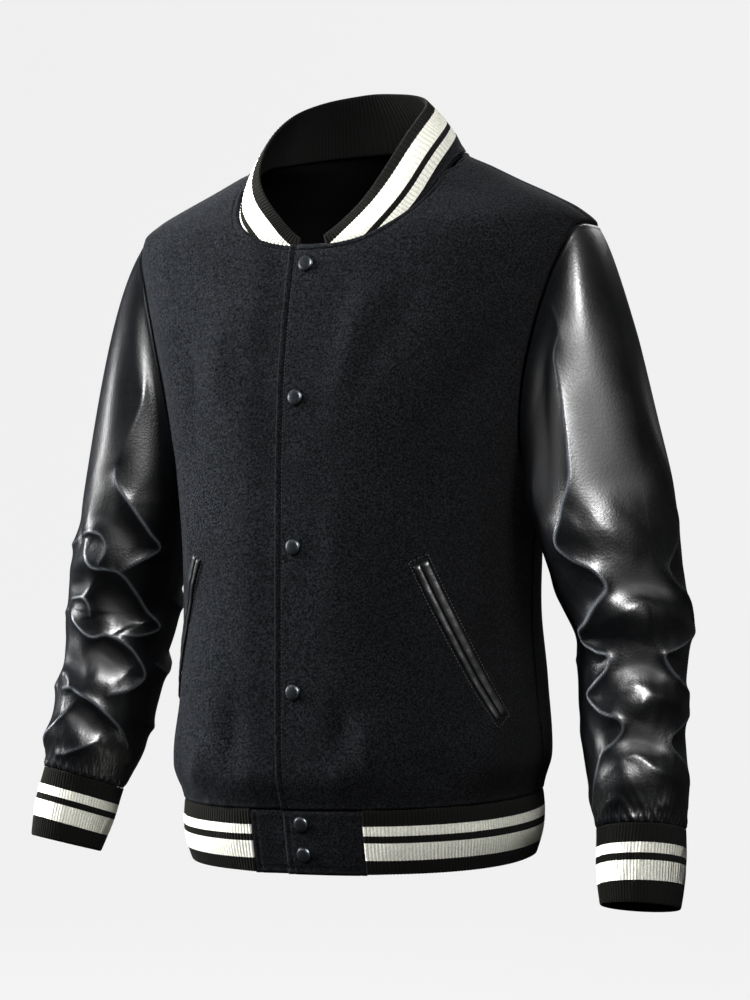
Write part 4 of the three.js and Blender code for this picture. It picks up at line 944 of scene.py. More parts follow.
def fold_lift(folds, angle, z):
    total = 0.0
    for level, middle, fall, width, height, reach in folds:
        turn = turned(angle, middle)
        across = (z - (level - fall * (1 - np.cos(turn)))) / width
        fade = np.where(np.abs(turn) < math.radians(reach), np.cos(turn / math.radians(reach) * math.pi / 2) ** 2, 0)
        total = total + height * fade * (np.exp(-across**2) - 0.45 * np.exp(-((across - 1.6) ** 2)))
    return total * ease(SLEEVE_END_Z, SLEEVE_END_Z + 16, z)


def path_length(grid):
    """Distance from the first row to each row, along the columns."""
    steps = np.linalg.norm(np.diff(grid, axis=0), axis=-1)
    return np.concatenate([np.zeros((1, grid.shape[1])), np.cumsum(steps, axis=0)])


def lowest(lift, reach):
    """The least lift within a few rows and columns, so that a coarser inner wall stays under the outer one."""
    least = lift.copy()
    for step in range(1, reach + 1):
        least = np.minimum.reduce([least, np.roll(lift, step, 1), np.roll(lift, -step, 1)])
    rows = np.pad(least, ((reach, reach), (0, 0)), mode="edge")
    return np.minimum.reduce([rows[i : i + len(lift)] for i in range(2 * reach + 1)])


def sleeve_piece(name, folds, creases, side, materials, node):
    base, angle = sleeve_rows(SLEEVE_COLUMNS, CAP_ROWS, TUBE_ROWS)
    middle = base.mean(axis=1, keepdims=True)
    normal = outward(base, grid_normals(base, True), middle)
    z = base[..., 2]
    down = path_length(base)
    lift, crest = crease_lift(creases, SLEEVE_RADIUS, angle, z)
    lift = lift + FOLD_SHARE * fold_lift(folds, angle, z)
    lift = lift * ease(6, 40, down) * ease(SLEEVE_END_Z - 4, SLEEVE_END_Z + 14, z)
    left = down[-1] - down
    pucker = unevenness(angle, z, 11 if side > 0 else 12, 13.0) * np.exp(-left / CUFF_PUCKER_REACH)
    lift = lift + seam_relief(down, False) + CUFF_PUCKER * pucker - 1.6 * np.exp(-((left / 2.2) ** 2))
    below = ease(SLEEVE_TOP_Z + 40, SLEEVE_TOP_Z - 40, z)
    lift = lift + 0.2 * unevenness(angle, z, 21 if side > 0 else 22, 34.0) * below
    outer = base + normal * lift[..., None]
    inner = base + normal * (lowest(lift, 3) - LEATHER_THICK)[..., None]
    hollow = np.clip(-lift / 5.0, 0, 1)
    flip = np.array([side, 1, 1])
    # crest carries the mask of the painted highlight along the sharp crests; hollow raises the roughness
    mesh = shell_mesh(name, outer * flip, inner * flip, closed=True, thin=(4, 4),
                      values={"hollow": hollow, "crest": crest})
    return add_piece(name, mesh, materials, [node])


def wales(columns, per_rib):
    """Height share of the ribs along a row of columns, 1 on the crest of each wale."""
    return (0.5 - 0.5 * np.cos(2 * math.pi * np.arange(columns) / per_rib)) ** 0.75


def rib_piece(name, base, normal, per_rib, closed, thick_in, from_edge, free_rows, materials, node, thin,
              rib_inside=False):
    """A ribbed wall over a base grid. from_edge is where the stripes are measured from, and free_rows how
    far each point is from a folded edge that stands free."""
    crest = np.broadcast_to(wales(base.shape[1], per_rib), base.shape[:2])
    rounded = edge_rounding(free_rows, 2.2)
    top = RIB_HEIGHT * crest
    bottom = -thick_in - (0.7 * crest if rib_inside else 0)
    middle, half = (top + bottom) / 2, (top - bottom) / 2 * np.maximum(rounded, 0.12)
    outer = base + normal * (middle + half)[..., None]
    inner = base + normal * (middle - half)[..., None]
    mesh = shell_mesh(name, outer, inner, closed=closed, thin=thin,
                      values={"from_edge": from_edge, "crest": crest.copy()})
    return add_piece(name, mesh, materials, [node])


def row_shares(count, soft_start, soft_end):
    """Shares down a knitted piece, closer together towards a folded edge."""
    shares = list(np.linspace(0, 1, count + 1))
    if soft_start:
        shares[1:1] = [0.004, 0.012, 0.024]
    if soft_end:
        shares[-1:-1] = [0.976, 0.988, 0.996]
    return np.array(sorted(shares))


def neck_edge(turn):
    """The cloth's edge round the neck, from the left front (0) over the back (180) to the right front."""
    about = np.where(turn <= 180, turn, turn - 360)
    place = neckline(about)
    lap = np.where((about < 0) & (about > -90), LAP_DEPTH, 0.0)
    p, out = body_ring(place[..., 0], place[..., 1])
    sink = np.where(np.cos(place[..., 0]) > 0, lap * (1 - ease(24, 58, -p[..., 0])), 0)
    return p - out * sink[..., None]


def softened(line, reach):
    """A row of points with its corners rounded over a number of columns to each side."""
    weight = np.exp(-0.5 * (np.arange(-2 * reach, 2 * reach + 1) / reach) ** 2)
    before, after = 2 * line[:1] - line[2 * reach : 0 : -1], 2 * line[-1:] - line[-2 : -2 * reach - 2 : -1]
    padded = np.concatenate([before, line, after])
    return np.stack([np.convolve(padded[:, k], weight / weight.sum(), "valid") for k in range(3)], -1)


def collar_grid(columns, shares):
    turn = np.broadcast_to(np.linspace(COLLAR_LEFT_END, 360 + COLLAR_RIGHT_END, columns), (len(shares), columns))
    v = np.broadcast_to(shares[:, None], turn.shape)
    left = turn <= 180
    about = np.where(left, turn, turn - 360)
    size = np.abs(about)
    base = neck_edge(turn)
    free = np.stack([
        np.where(left, 1, -1) * COLLAR_RIM("x", size) + COLLAR_LEAN_X * ease(30, 90, size),
        COLLAR_RIM("y", size),
        COLLAR_RIM("z", size),
    ], -1)
    free[..., 1] += np.where(left, 0, LAP_DEPTH * (1 - ease(24, 58, -free[..., 0])) * (1 - ease(60, 90, -about)))
    start = base + unit(NECK_MIDDLE - base) * COLLAR_GAP
    start[..., 2] += COLLAR_LIFT - COLLAR_TUCK
    start, free = (np.broadcast_to(softened(row[0], columns // 50), row.shape) for row in (start, free))
    base = np.broadcast_to(softened(base[0], columns // 50), base.shape)
    bow = COLLAR_BOW * np.linalg.norm(free - base, axis=-1) * np.sin(math.pi * v)
    outwards = unit(base * np.array([1, 1, 0]))
    return start + (free - start) * v[..., None] + outwards * bow[..., None]


def cuff_grid(columns, shares, side):
    angle = np.broadcast_to(2 * math.pi * np.arange(columns) / columns, (len(shares), columns))
    v = np.broadcast_to(shares[:, None], angle.shape)
    z = SLEEVE_END_Z - 0.2 + (CUFF_END_Z - SLEEVE_END_Z + 0.2) * v
    waves = unevenness(angle, z, 31 if side > 0 else 32, 40.0)
    lift = CUFF_BOW * np.sin(math.pi * v) - CUFF_SINK + 0.4 * waves * np.sin(math.pi * v)
    return sleeve_point(angle, z, lift) * np.array([side, 1, 1])


def band_grid(columns, shares):
    u = np.broadcast_to(np.linspace(0, 1, columns), (len(shares), columns))
    v = np.broadcast_to(shares[:, None], u.shape)
    z = HEM_SEAM_Z + BAND_TUCK + (HEM_END_Z - HEM_SEAM_Z - BAND_TUCK) * v
    start, end = angle_at(TAB_LEFT_X, z), 2 * math.pi + angle_at(TAB_RIGHT_X, z)
    angle = start + (end - start) * u
    lift = BAND_BULGE * (np.sin(math.pi * v) - BAND_SINK) * ease(0, BAND_END, np.minimum(u, 1 - u))
    lift = lift - BAND_TUCK_SINK * np.exp(-(((HEM_SEAM_Z + BAND_TUCK - z) / BAND_TUCK_REACH) ** 2))
    lift = lift + 0.5 * unevenness(angle, z, 41, 60.0) * np.sin(math.pi * v) * ease(0, BAND_END, np.minimum(u, 1 - u))
    base = body_point(angle, z)
    _, out = body_ring(angle, z)
    return base + out * lift[..., None]


def tab_piece(name, from_x, to_x, lap, materials, node):
    columns = np.linspace(0, 1, 41)
    rows = np.linspace(0, 1, 31)
    z = (HEM_END_Z - 1 + (HEM_SEAM_Z - HEM_END_Z + 1 - 0.3) * rows)[:, None] + 0 * columns
    a, b = angle_at(from_x, z), angle_at(to_x, z)
    base, normal = body_surface(a + (b - a) * columns, z, lap)
    away = [line_distance(base, line) for line in (base[0], base[:, 0], base[:, -1])]
    rounded = np.minimum.reduce([edge_rounding(d, 1.6) for d in away]) * 0.85 + 0.15
    lift = seam_relief(line_distance(base, base[-1]), False)
    for d in away:
        lift = lift - STITCH_SINK * np.exp(-(((d - STITCH_FROM_EDGE) / 0.9) ** 2))
    half = WOOL_THICK / 2 * rounded
    outer = base + normal * (lift - WOOL_THICK / 2 + half)[..., None]
    inner = base + normal * (-WOOL_THICK / 2 - half)[..., None]
    return add_piece(name, shell_mesh(name, outer, inner), materials, [node])


def joined_mesh(name, parts, values=None):
    """One mesh from many (points, faces) in millimetres."""
    points, faces, count = [], [], 0
    for p, f in parts:
        points.append(p)
        faces += [[int(i) + count for i in face] for face in f]
        count += len(p)
    mesh = bpy.data.meshes.new(name)
    mesh.from_pydata((np.concatenate(points) * METRES).tolist(), [], faces)
    if values is not None:
        mesh.attributes.new("crest", "FLOAT", "POINT").data.foreach_set("value", np.asarray(values, np.float32))
    work = bmesh.new()
    work.from_mesh(mesh)
    bmesh.ops.recalc_face_normals(work, faces=work.faces)
    work.to_mesh(mesh)
    work.free()
    mesh.polygons.foreach_set("use_smooth", np.ones(len(mesh.polygons), bool))
    return mesh


# Outline of a snap from its rim to the middle of its dome: share of the radius, share of the height, wear.
# A wear of 0 leaves the rim almost black, as painted shadow.
SNAP_OUTLINE = [
    (0.90, 0.0, 0.0), (0.97, 0.04, 0.0), (1.0, 0.16, 0.0), (0.995, 0.26, 0.0), (0.975, 0.32, 0.0), (0.95, 0.34, 0.0),
    (0.93, 0.36, 0.2), (0.905, 0.5, 0.5), (0.86, 0.64, 0.8), (0.78, 0.78, 0.8), (0.65, 0.89, 0.5), (0.48, 0.96, 0.4),
    (0.25, 1.0, 0.4), (0.08, 1.01, 0.4),
]


def snap_piece(name, place, out, material, node):
    sides = 48
    turn = 2 * math.pi * np.arange(sides) / sides
    right = unit(np.cross(out, [0, 0, 1]))
    up = np.cross(right, out)
    circle = np.cos(turn)[:, None] * right + np.sin(turn)[:, None] * up
    rings = [place + out * (h * SNAP_HEIGHT + PIECE_LIFT) + SNAP_RADIUS * r * circle for r, h, _ in SNAP_OUTLINE]
    points = np.concatenate(rings + [[place + out * PIECE_LIFT], [place + out * (SNAP_HEIGHT * 1.012 + PIECE_LIFT)]])
    faces = []
    for k in range(sides):
        n = (k + 1) % sides
        for j in range(len(rings) - 1):
            faces.append([j * sides + k, j * sides + n, (j + 1) * sides + n, (j + 1) * sides + k])
        faces.append([len(points) - 2, n, k])
        faces.append([len(points) - 1, (len(rings) - 1) * sides + k, (len(rings) - 1) * sides + n])
    # the wear, and on the rim painted shadow where it is 0
    wear = np.concatenate([np.full(sides, w) for _, _, w in SNAP_OUTLINE] + [[0, 0.4]])
    return add_piece(name, joined_mesh(name, [(points, faces)], wear), [material], [node])


def pocket_line(side, count, beyond=0.0):
    """Places, outward directions and cross directions of a pocket's mouth, from the top down."""
    t = np.linspace(-beyond, 1 + beyond, count)
    x = side * (POCKET_TOP[0] + (POCKET_END[0] - POCKET_TOP[0]) * t)
    z = POCKET_TOP[1] + (POCKET_END[1] - POCKET_TOP[1]) * t
    place, out = on_body(x, z, 0.0)
    along = unit(np.gradient(place, axis=0))
    across = unit(np.cross(along, out))
    return place, out, across * np.sign(across[:, :1]) * side


def welt_piece(name, side, which, materials, node):
    """A leather welt: a folded strip with a rounded lip towards the pocket's mouth."""
    place, out, across = pocket_line(side, 61)
    way = -1 if which == "front" else 1
    width = WELT_WIDTHS[which]
    section = np.linspace(0, 1, 11)
    share = np.linspace(0, 1, len(place))[:, None]
    taper = edge_rounding(np.minimum(share, 1 - share) * 152, 2.5) * 0.9 + 0.1
    height = WELT_THICK * (0.35 + 0.65 * np.sin(math.pi * np.clip(0.06 + section * 0.9, 0, 1)) ** 0.55)
    height = height * taper * (1 + 0.1 * np.sin(share * 31 + section * 2) + 0.06 * np.sin(share * 74 + 1))
    far = WELT_GAP / 2 + width * section
    low = place[:, None] + across[:, None] * way * far[None, :, None] + out[:, None] * PIECE_LIFT * 0.6
    high = low + out[:, None] * height[..., None]
    dull = np.full(high.shape[:2], 0.2)
    return add_piece(name, shell_mesh(name, high, low, values={"hollow": dull}), materials, [node])


STITCH_PITCH, STITCH_LENGTH, STITCH_RADIUS = 3.3, 2.6, 0.34


def stitches(line, normals):
    """Thread lying along a line in the cloth, one short raised stitch after another."""
    steps = np.linalg.norm(np.diff(line, axis=0), axis=1)
    run = np.concatenate([[0], np.cumsum(steps)])
    count = int(run[-1] / STITCH_PITCH)
    at = (np.arange(count) + 0.5) * run[-1] / max(count, 1)
    parts = []
    sides, shares = 6, np.array([-1.0, -0.82, -0.3, 0.3, 0.82, 1.0])
    thick = np.array([0.25, 0.8, 1.0, 1.0, 0.8, 0.25])
    turn = 2 * math.pi * np.arange(sides) / sides
    faces = [[j * sides + k, j * sides + (k + 1) % sides, (j + 1) * sides + (k + 1) % sides, (j + 1) * sides + k]
             for j in range(len(shares) - 1) for k in range(sides)]
    faces += [list(range(sides))[::-1], list(range((len(shares) - 1) * sides, len(shares) * sides))]
    for middle in at:
        here = np.array([np.interp(middle, run, line[:, i]) for i in range(3)])
        ahead = np.array([np.interp(middle + 0.5, run, line[:, i]) for i in range(3)])
        behind = np.array([np.interp(middle - 0.5, run, line[:, i]) for i in range(3)])
        out = unit(np.array([np.interp(middle, run, normals[:, i]) for i in range(3)]))
        along = unit(ahead - behind)
        across = np.cross(along, out)
        sink = 0.1 - 0.42 * shares**4
        rings = [here + along * s * STITCH_LENGTH / 2 + out * d
                 + STITCH_RADIUS * w * (np.cos(turn)[:, None] * across + np.sin(turn)[:, None] * out * 0.8)
                 for s, d, w in zip(shares, sink, thick)]
        parts.append((np.concatenate(rings), faces))
    return parts


def beside(chain, by, lap=0.0):
    """A line on the body at a distance from a chain of ring places, to its left as seen from outside."""
    line, normals = body_surface(chain[:, 0], chain[:, 1], lap)
    along = unit(np.gradient(line, axis=0))
    place = ring_place(line + np.cross(normals, along) * by)
    p, out = body_surface(place[:, 0], place[:, 1], lap)
    return p - out * STITCH_SINK, out


def on_places(x, z, lap=0.0):
    p, out = on_body(x, z, lap)
    return p - out * STITCH_SINK, out


# ---------------------------------------------------------------- what a user can change


class JacketColours(bpy.types.PropertyGroup):
    wool: FloatVectorProperty(name="Melton wool", description="Colour of the body's wool", subtype="COLOR_GAMMA",
                              size=3, min=0, max=1, default=(0.054, 0.057, 0.066))
    leather: FloatVectorProperty(name="PU leather", description="Colour of the sleeves and pocket welts",
                                 subtype="COLOR_GAMMA", size=3, min=0, max=1, default=(0.052, 0.055, 0.062))
    knit: FloatVectorProperty(name="Rib knit", description="Ground colour of the ribbed knit",
                              subtype="COLOR_GAMMA", size=3, min=0, max=1, default=(0.055, 0.053, 0.045))
    stripe: FloatVectorProperty(name="Stripes", description="Colour of the knitted stripes",
                                subtype="COLOR_GAMMA", size=3, min=0, max=1, default=(0.965, 0.96, 0.91))
    lining: FloatVectorProperty(name="Lining", description="Colour of the lining inside the body and sleeves",
                                subtype="COLOR_GAMMA", size=3, min=0, max=1, default=(0.016, 0.016, 0.018))
    snap: FloatVectorProperty(name="Snaps", description="Colour of the snaps' plating",
                              subtype="COLOR_GAMMA", size=3, min=0, max=1, default=(0.2, 0.21, 0.225))
    thread: FloatVectorProperty(name="Thread", description="Colour of the topstitching",
                                subtype="COLOR_GAMMA", size=3, min=0, max=1, default=(0.06, 0.06, 0.066))
    paper: FloatVectorProperty(name="Backdrop", description="Colour of the floor and backdrop",
                               subtype="COLOR_GAMMA", size=3, min=0, max=1, default=(0.937, 0.937, 0.937))


class JacketSizes(bpy.types.PropertyGroup):
    collar_wales: IntProperty(name="Collar wales", description="Raised wales round the collar",
                              default=150, min=20, max=220)
    cuff_wales: IntProperty(name="Cuff wales", description="Raised wales round each cuff", default=84, min=20, max=120)
    band_wales: IntProperty(name="Band wales", description="Raised wales round the hem band",
                            default=288, min=60, max=340)
    light: FloatProperty(name="Light", description="Strength of the studio lights",
                         default=1.0, min=0.1, max=5, subtype="FACTOR")


def hex_of(colour):
    return "#" + "".join("%02x" % round(255 * c) for c in colour)


FINISHES = {
    "Melton wool": lambda c: melton_wool(hex_of(c.wool)),
    "PU leather": lambda c: sleeve_leather(hex_of(c.leather)),
    "Twill lining": lambda c: body_lining(hex_of(c.lining)),
    "Gunmetal plating": lambda c: snap_metal(hex_of(c.snap)),
    "Polyester thread": lambda c: sewing_thread(hex_of(c.thread)),
    # the inside of the knit: its ground colour painted to a third, as painted shade, and without stripes
    "Rib knit, inside in painted shade": lambda c: rib_knit("Rib knit, inside in painted shade", hex_of([0.3 * v for v in c.knit]), hex_of(c.stripe)),
    "Rib knit, collar": lambda c: rib_knit("Rib knit, collar", hex_of(c.knit), hex_of(c.stripe), COLLAR_STRIPES, 120.0),
    "Rib knit, cuffs": lambda c: rib_knit("Rib knit, cuffs", hex_of(c.knit), hex_of(c.stripe), CUFF_STRIPES),
    "Rib knit, hem band": lambda c: rib_knit("Rib knit, hem band", hex_of(c.knit), hex_of(c.stripe), BAND_STRIPES),
    "Seamless paper": lambda c: studio_paper(hex_of(c.paper)),
}


def finish_named(name):
    return bpy.data.materials.get(name) or FINISHES[name](bpy.context.scene.jacket_colours)


def panel_shares(width, sewn_start, sewn_end):
    """Row and column shares of a front or back panel."""
    low, high = ARMPIT_Z - HEM_SEAM_Z, 216.0
    rows = spread(low + high, 4.0, True, True) * (low + high)
    armpit_share = ROWS_TO_ARMPIT / (ROWS_TO_ARMPIT + ROWS_ABOVE)
    return np.interp(rows, [0, low, low + high], [0, armpit_share, 1]), spread(width, 3.0, sewn_start, sewn_end)


def split_edges(place, rows, columns, neck_from, neck_to):
    """The chains of ring places along a panel's hem, side, armhole, shoulder and neckline."""
    k = int(np.searchsorted(rows, ROWS_TO_ARMPIT / (ROWS_TO_ARMPIT + ROWS_ABOVE)))
    inside = np.flatnonzero((columns >= neck_from) & (columns <= neck_to))
    a, b = inside[0], inside[-1]
    return {"hem": place[0], "start_low": place[: k + 1, 0], "start_high": place[k:, 0], "end_low": place[: k + 1, -1],
            "end_high": place[k:, -1], "neck": place[-1, a : b + 1], "before": place[-1, : a + 1],
            "after": place[-1, b:]}


class JACKET_OT_wool_body(bpy.types.Operator):
    """Builds the two wool fronts and the wool back, lined inside"""

    bl_idname = "jacket.wool_body"
    bl_label = "Wool body"

    def execute(self, context):
        materials = [finish_named("Melton wool"), finish_named("Twill lining")]
        neck_share = NECK_SHARE / PANEL_COLUMNS
        rows, columns = panel_shares(186.0, True, True)
        place = finer(half_panel(False, LEFT_EDGE_X), rows, columns)
        e = split_edges(place, rows, columns, 0.0, neck_share)
        borders = [(e["hem"], False, False), (place[:, 0], True, True), (e["end_low"], False, False),
                   (e["end_high"], False, False), (e["neck"], True, False), (e["after"], True, False)]
        left = wool_panel("wool_front_left", place, borders, 0.0, materials, "front_left")
        right_place = finer(half_panel(False, -RIGHT_EDGE_X), rows, columns) * np.array([-1, 1])
        right_place = right_place[:, ::-1]
        e = split_edges(right_place, rows, 1 - columns[::-1], 1 - neck_share, 1.0)
        borders = [(e["hem"], False, False), (right_place[:, -1], True, True), (e["start_low"], False, False),
                   (e["start_high"], False, False), (e["neck"], True, False), (e["before"], True, False)]
        right = wool_panel("wool_front_right", right_place, borders, LAP_DEPTH, materials, "front_right")
        half = half_panel(True, 0.0)
        other = np.stack([2 * math.pi - half[..., 0], half[..., 1]], -1)
        rows, columns = panel_shares(384.0, True, True)
        back_place = finer(np.concatenate([half[:, ::-1], other[:, 1:]], 1), rows, columns)
        e = split_edges(back_place, rows, columns, 0.5 - neck_share / 2, 0.5 + neck_share / 2)
        borders = [(e["hem"], False, False), (e["start_low"], False, False), (e["start_high"], False, False),
                   (e["end_low"], False, False), (e["end_high"], False, False), (e["neck"], True, False),
                   (e["before"], False, False), (e["after"], False, False)]
        back = wool_panel("wool_back", back_place, borders, 0.0, materials, "back")
        return {"FINISHED"}


class JACKET_OT_sleeves(bpy.types.Operator):
    """Builds the two leather sleeves with their stacked folds"""

    bl_idname = "jacket.sleeves"
    bl_label = "Leather sleeves"

    def execute(self, context):
        materials = [finish_named("PU leather"), finish_named("Twill lining")]
        left = sleeve_piece("leather_sleeve_left", LEFT_SLEEVE_FOLDS, LEFT_SLEEVE_CREASES, 1, materials, "sleeve_left")
        right = sleeve_piece("leather_sleeve_right", RIGHT_SLEEVE_FOLDS, RIGHT_SLEEVE_CREASES, -1, materials,
                             "sleeve_right")
        return {"FINISHED"}


class JACKET_OT_rib_knit(bpy.types.Operator):
    """Builds the striped rib-knit collar, cuffs and hem band"""

    bl_idname = "jacket.rib_knit"
    bl_label = "Rib knit"

    def execute(self, context):
        sizes = context.scene.jacket_sizes
        # the inside faces take the knit painted darker, as painted shade
        plain = finish_named("Rib knit, inside in painted shade")
        grid = collar_grid(sizes.collar_wales * 4 + 1, row_shares(26, False, True))
        normal = outward(grid, grid_normals(grid, False), np.array([0, -20, 0]) + 0 * grid)
        run = path_length(grid)
        ends = np.minimum(path_length(grid.swapaxes(0, 1)).T, path_length(grid[:, ::-1].swapaxes(0, 1)).T[:, ::-1])
        collar = rib_piece("knit_collar", grid, normal, 4, False, KNIT_THICK, run[-1] - run,
                           np.minimum(run[-1] - run, ends), [finish_named("Rib knit, collar"), plain], "collar",
                           (1, 1), True)
        for side, label in ((1, "left"), (-1, "right")):
            grid = cuff_grid(sizes.cuff_wales * 5, row_shares(24, False, True), side)
            normal = outward(grid, grid_normals(grid, True), grid.mean(axis=1, keepdims=True))
            run = path_length(grid)
            cuff = rib_piece("knit_cuff_" + label, grid, normal, 5, True, KNIT_THICK, run, run[-1] - run,
                             [finish_named("Rib knit, cuffs"), plain], "cuff_" + label, (3, 5))
        grid = band_grid(sizes.band_wales * 5 + 1, row_shares(20, False, True))
        normal = outward(grid, grid_normals(grid, False), grid * np.array([0, 0, 1]))
        run = path_length(grid)
        band = rib_piece("knit_hem_band", grid, normal, 5, False, KNIT_THICK, run, run[-1] - run,
                         [finish_named("Rib knit, hem band"), plain], "hem_band", (1, 5))
        return {"FINISHED"}


class JACKET_OT_neck_facing(bpy.types.Operator):
    """Builds the strip of wool that covers the foot of the collar"""

    bl_idname = "jacket.neck_facing"
    bl_label = "Neck facing"

    def execute(self, context):
        columns, shares = 421, np.linspace(0, 1, 61)
        grid = collar_grid(columns, shares)
        normal = outward(grid, grid_normals(grid, False), np.array([0, -20, 0]) + 0 * grid)
        run = path_length(grid)
        high = run[-1] - FACING_FROM_RIM
        inside = np.flatnonzero(high > 1.0)
        inside = np.arange(inside[0], inside[-1] + 1)
        turn = np.linspace(COLLAR_LEFT_END, 360 + COLLAR_RIGHT_END, columns)
        foot = neck_edge(turn)
        rows = np.linspace(0, 1, 15)
        outer = np.zeros((len(rows), len(inside), 3))
        away = np.zeros_like(outer)
        for n, c in enumerate(inside):
            reach = rows * max(high[c], 1.0)
            on = np.stack([np.interp(reach, run[:, c], grid[:, c, k]) for k in range(3)], -1)
            away[:, n] = unit(np.stack([np.interp(reach, run[:, c], normal[:, c, k]) for k in range(3)], -1))
            blend = (1 - ease(0, 0.6, rows))[:, None]
            on = on + away[:, n] * (RIB_HEIGHT + 0.5)
            outer[:, n] = on + (foot[c] - on[0]) * blend * 0.9
        materials = [finish_named("Melton wool"), finish_named("Melton wool")]
        mesh = shell_mesh("wool_neck_facing", outer, outer - away * 1.3)
        facing = add_piece("wool_neck_facing", mesh, materials)
        return {"FINISHED"}


class JACKET_OT_hem_tabs(bpy.types.Operator):
    """Builds the two wool tabs that close the hem band in front"""

    bl_idname = "jacket.hem_tabs"
    bl_label = "Hem tabs"

    def execute(self, context):
        materials = [finish_named("Melton wool"), finish_named("Twill lining")]
        left = tab_piece("wool_tab_left", LEFT_EDGE_X, TAB_LEFT_X, 0.0, materials, "tab_left")
        right = tab_piece("wool_tab_right", TAB_RIGHT_X, RIGHT_EDGE_X, LAP_DEPTH, materials, "tab_right")
        return {"FINISHED"}


class JACKET_OT_pockets(bpy.types.Operator):
    """Builds the leather welts of the two slanted pockets"""

    bl_idname = "jacket.pockets"
    bl_label = "Pocket welts"

    def execute(self, context):
        materials = [finish_named("PU leather"), finish_named("Twill lining")]
        for side, label in ((1, "left"), (-1, "right")):
            for which in ("front", "rear"):
                welt_piece("leather_welt_%s_%s" % (which, label), side, which, materials, "welt_%s_%s" % (which, label))
        return {"FINISHED"}


class JACKET_OT_snaps(bpy.types.Operator):
    """Builds the domed snaps of the front and of the left hem tab"""

    bl_idname = "jacket.snaps"
    bl_label = "Snaps"

    def execute(self, context):
        metal = finish_named("Gunmetal plating")
        for group, node, levels in (("snap_cap_", "snap_", PLACKET_SNAP_Z), ("tab_snap_cap_", "tab_snap_", TAB_SNAP_Z)):
            for i, z in enumerate(levels):
                place, out = on_body(np.array([0.0]), np.array([z]))
                snap_piece(group + str(i + 1), place[0], out[0], metal, node + str(i + 1))
        return {"FINISHED"}


class JACKET_OT_stitching(bpy.types.Operator):
    """Sews the topstitching along the front edge, neckline, shoulders, pockets and hem tabs"""

    bl_idname = "jacket.stitching"
    bl_label = "Topstitching"

    def execute(self, context):
        by = STITCH_FROM_EDGE
        lines = []
        z = np.linspace(-92, HEM_SEAM_Z + 4, 220)
        lines.append(on_places(0 * z + LEFT_EDGE_X + by, z))
        neck_left = neckline(np.linspace(neck_start(LEFT_EDGE_X) + 4, 90, 60))
        neck_right = neckline(np.linspace(-90, neck_start(RIGHT_EDGE_X) - 8, 60))
        neck_back = neckline(np.concatenate([np.linspace(91, 179.9, 50), np.linspace(-179.9, -91, 50)]))
        neck_back[:, 0] = np.where(neck_back[:, 0] < 0, neck_back[:, 0] + 2 * math.pi, neck_back[:, 0])
        lines += [beside(neck_left, -by), beside(neck_right, -by, LAP_DEPTH), beside(neck_back, -by)]
        out = np.linspace(-6, SHOULDER_TIP_Z + 3, 60)
        lines.append(beside(np.stack([0 * out + math.pi / 2 - 0.002, out], -1), -by))
        lines.append(beside(np.stack([0 * out - math.pi / 2 + 0.002, out], -1), by))
        low = HEM_END_Z - 1 + by
        for left_x, right_x, lap in ((LEFT_EDGE_X + by, TAB_LEFT_X - by, 0.0),
                                     (TAB_RIGHT_X + by, RIGHT_EDGE_X, LAP_DEPTH)):
            down = np.linspace(HEM_SEAM_Z - 3, low, 30)
            lines.append(on_places(0 * down + left_x, down, lap))
            if lap == 0.0:
                lines.append(on_places(0 * down + right_x, down + HEM_SLANT * right_x, lap))
            across = np.linspace(left_x + 2, right_x - 2, 40)
            lines.append(on_places(across, low + HEM_SLANT * across, lap))
        for side in (1, -1):
            place, normal, cross = pocket_line(side, 81, 0.03)
            near, far = WELT_GAP / 2 + WELT_WIDTHS["front"] + 2.6, WELT_GAP / 2 + WELT_WIDTHS["rear"] + 2.6
            lines.append((place - cross * near, normal))
            lines.append((place + cross * far, normal))
            for end in (0, -1):
                share = np.linspace(0, 1, 12)[:, None]
                bar = place[end] - cross[end] * near + cross[end] * (near + far) * share
                lines.append((bar, np.repeat(normal[end][None], 12, 0)))
        parts = [part for line, normal in lines for part in stitches(line, normal)]
        add_piece("topstitching", joined_mesh("topstitching", parts), [finish_named("Polyester thread")])
        return {"FINISHED"}


CAMERA_TURN, CAMERA_FAR, CAMERA_LEVEL = 28.0, 2.05, -0.263
PIXELS_PER_METRE = 1030.0
PICTURE_WIDTH, PICTURE_HEIGHT, AXIS_X, HORIZON_Y = 750, 1000, 362, 430
SENSOR_WIDTH = 36.0
FLOOR_Z = -1.42
PAPER_GLOW = 1.0
AIR_COLOUR, AIR_STRENGTH = "#9a9ca2", 0.05
# The studio room's outline, in metres: floor, cove, wall and rounded ceiling
FLOOR_REACH, COVE_FROM, COVE_RADIUS, WALL_TOP_Z, CEILING_FROM, CEILING_RADIUS = 2.0, 3.4, 0.8, 2.4, 3.2, 1.0
ROOM_SIDES = 96
# Soft boxes, and the white cards that show only in the leather and metal: name, degrees round, rise,
# distance, size, watts, target, and what the light is hidden from
LIGHTS = [
    ("left_box", -76, 28, 2.2, (1.0, 1.8), 400, (0, 0, -0.36), "visible_glossy"),
    ("front_box", 10, 34, 3.0, (0.6, 0.6), 92, (0, 0, -0.15), "visible_glossy"),
    ("back_box_left", -150, 30, 2.2, (0.9, 1.4), 55, (0, 0, -0.3), None),
    ("back_box_right", 172, 40, 2.2, (0.9, 1.2), 18, (0, 0, -0.3), None),
    ("left_card", -69, 8, 2.2, (0.5, 0.7), 33, (-0.3, 0, -0.42), "visible_diffuse"),
    ("right_card", 54, 28, 2.2, (0.5, 0.9), 122, (0.28, 0, -0.28), "visible_diffuse"),
    ("front_card", 30, 44, 2.2, (0.8, 0.35), 12, (0, 0, -0.6), "visible_diffuse"),
]


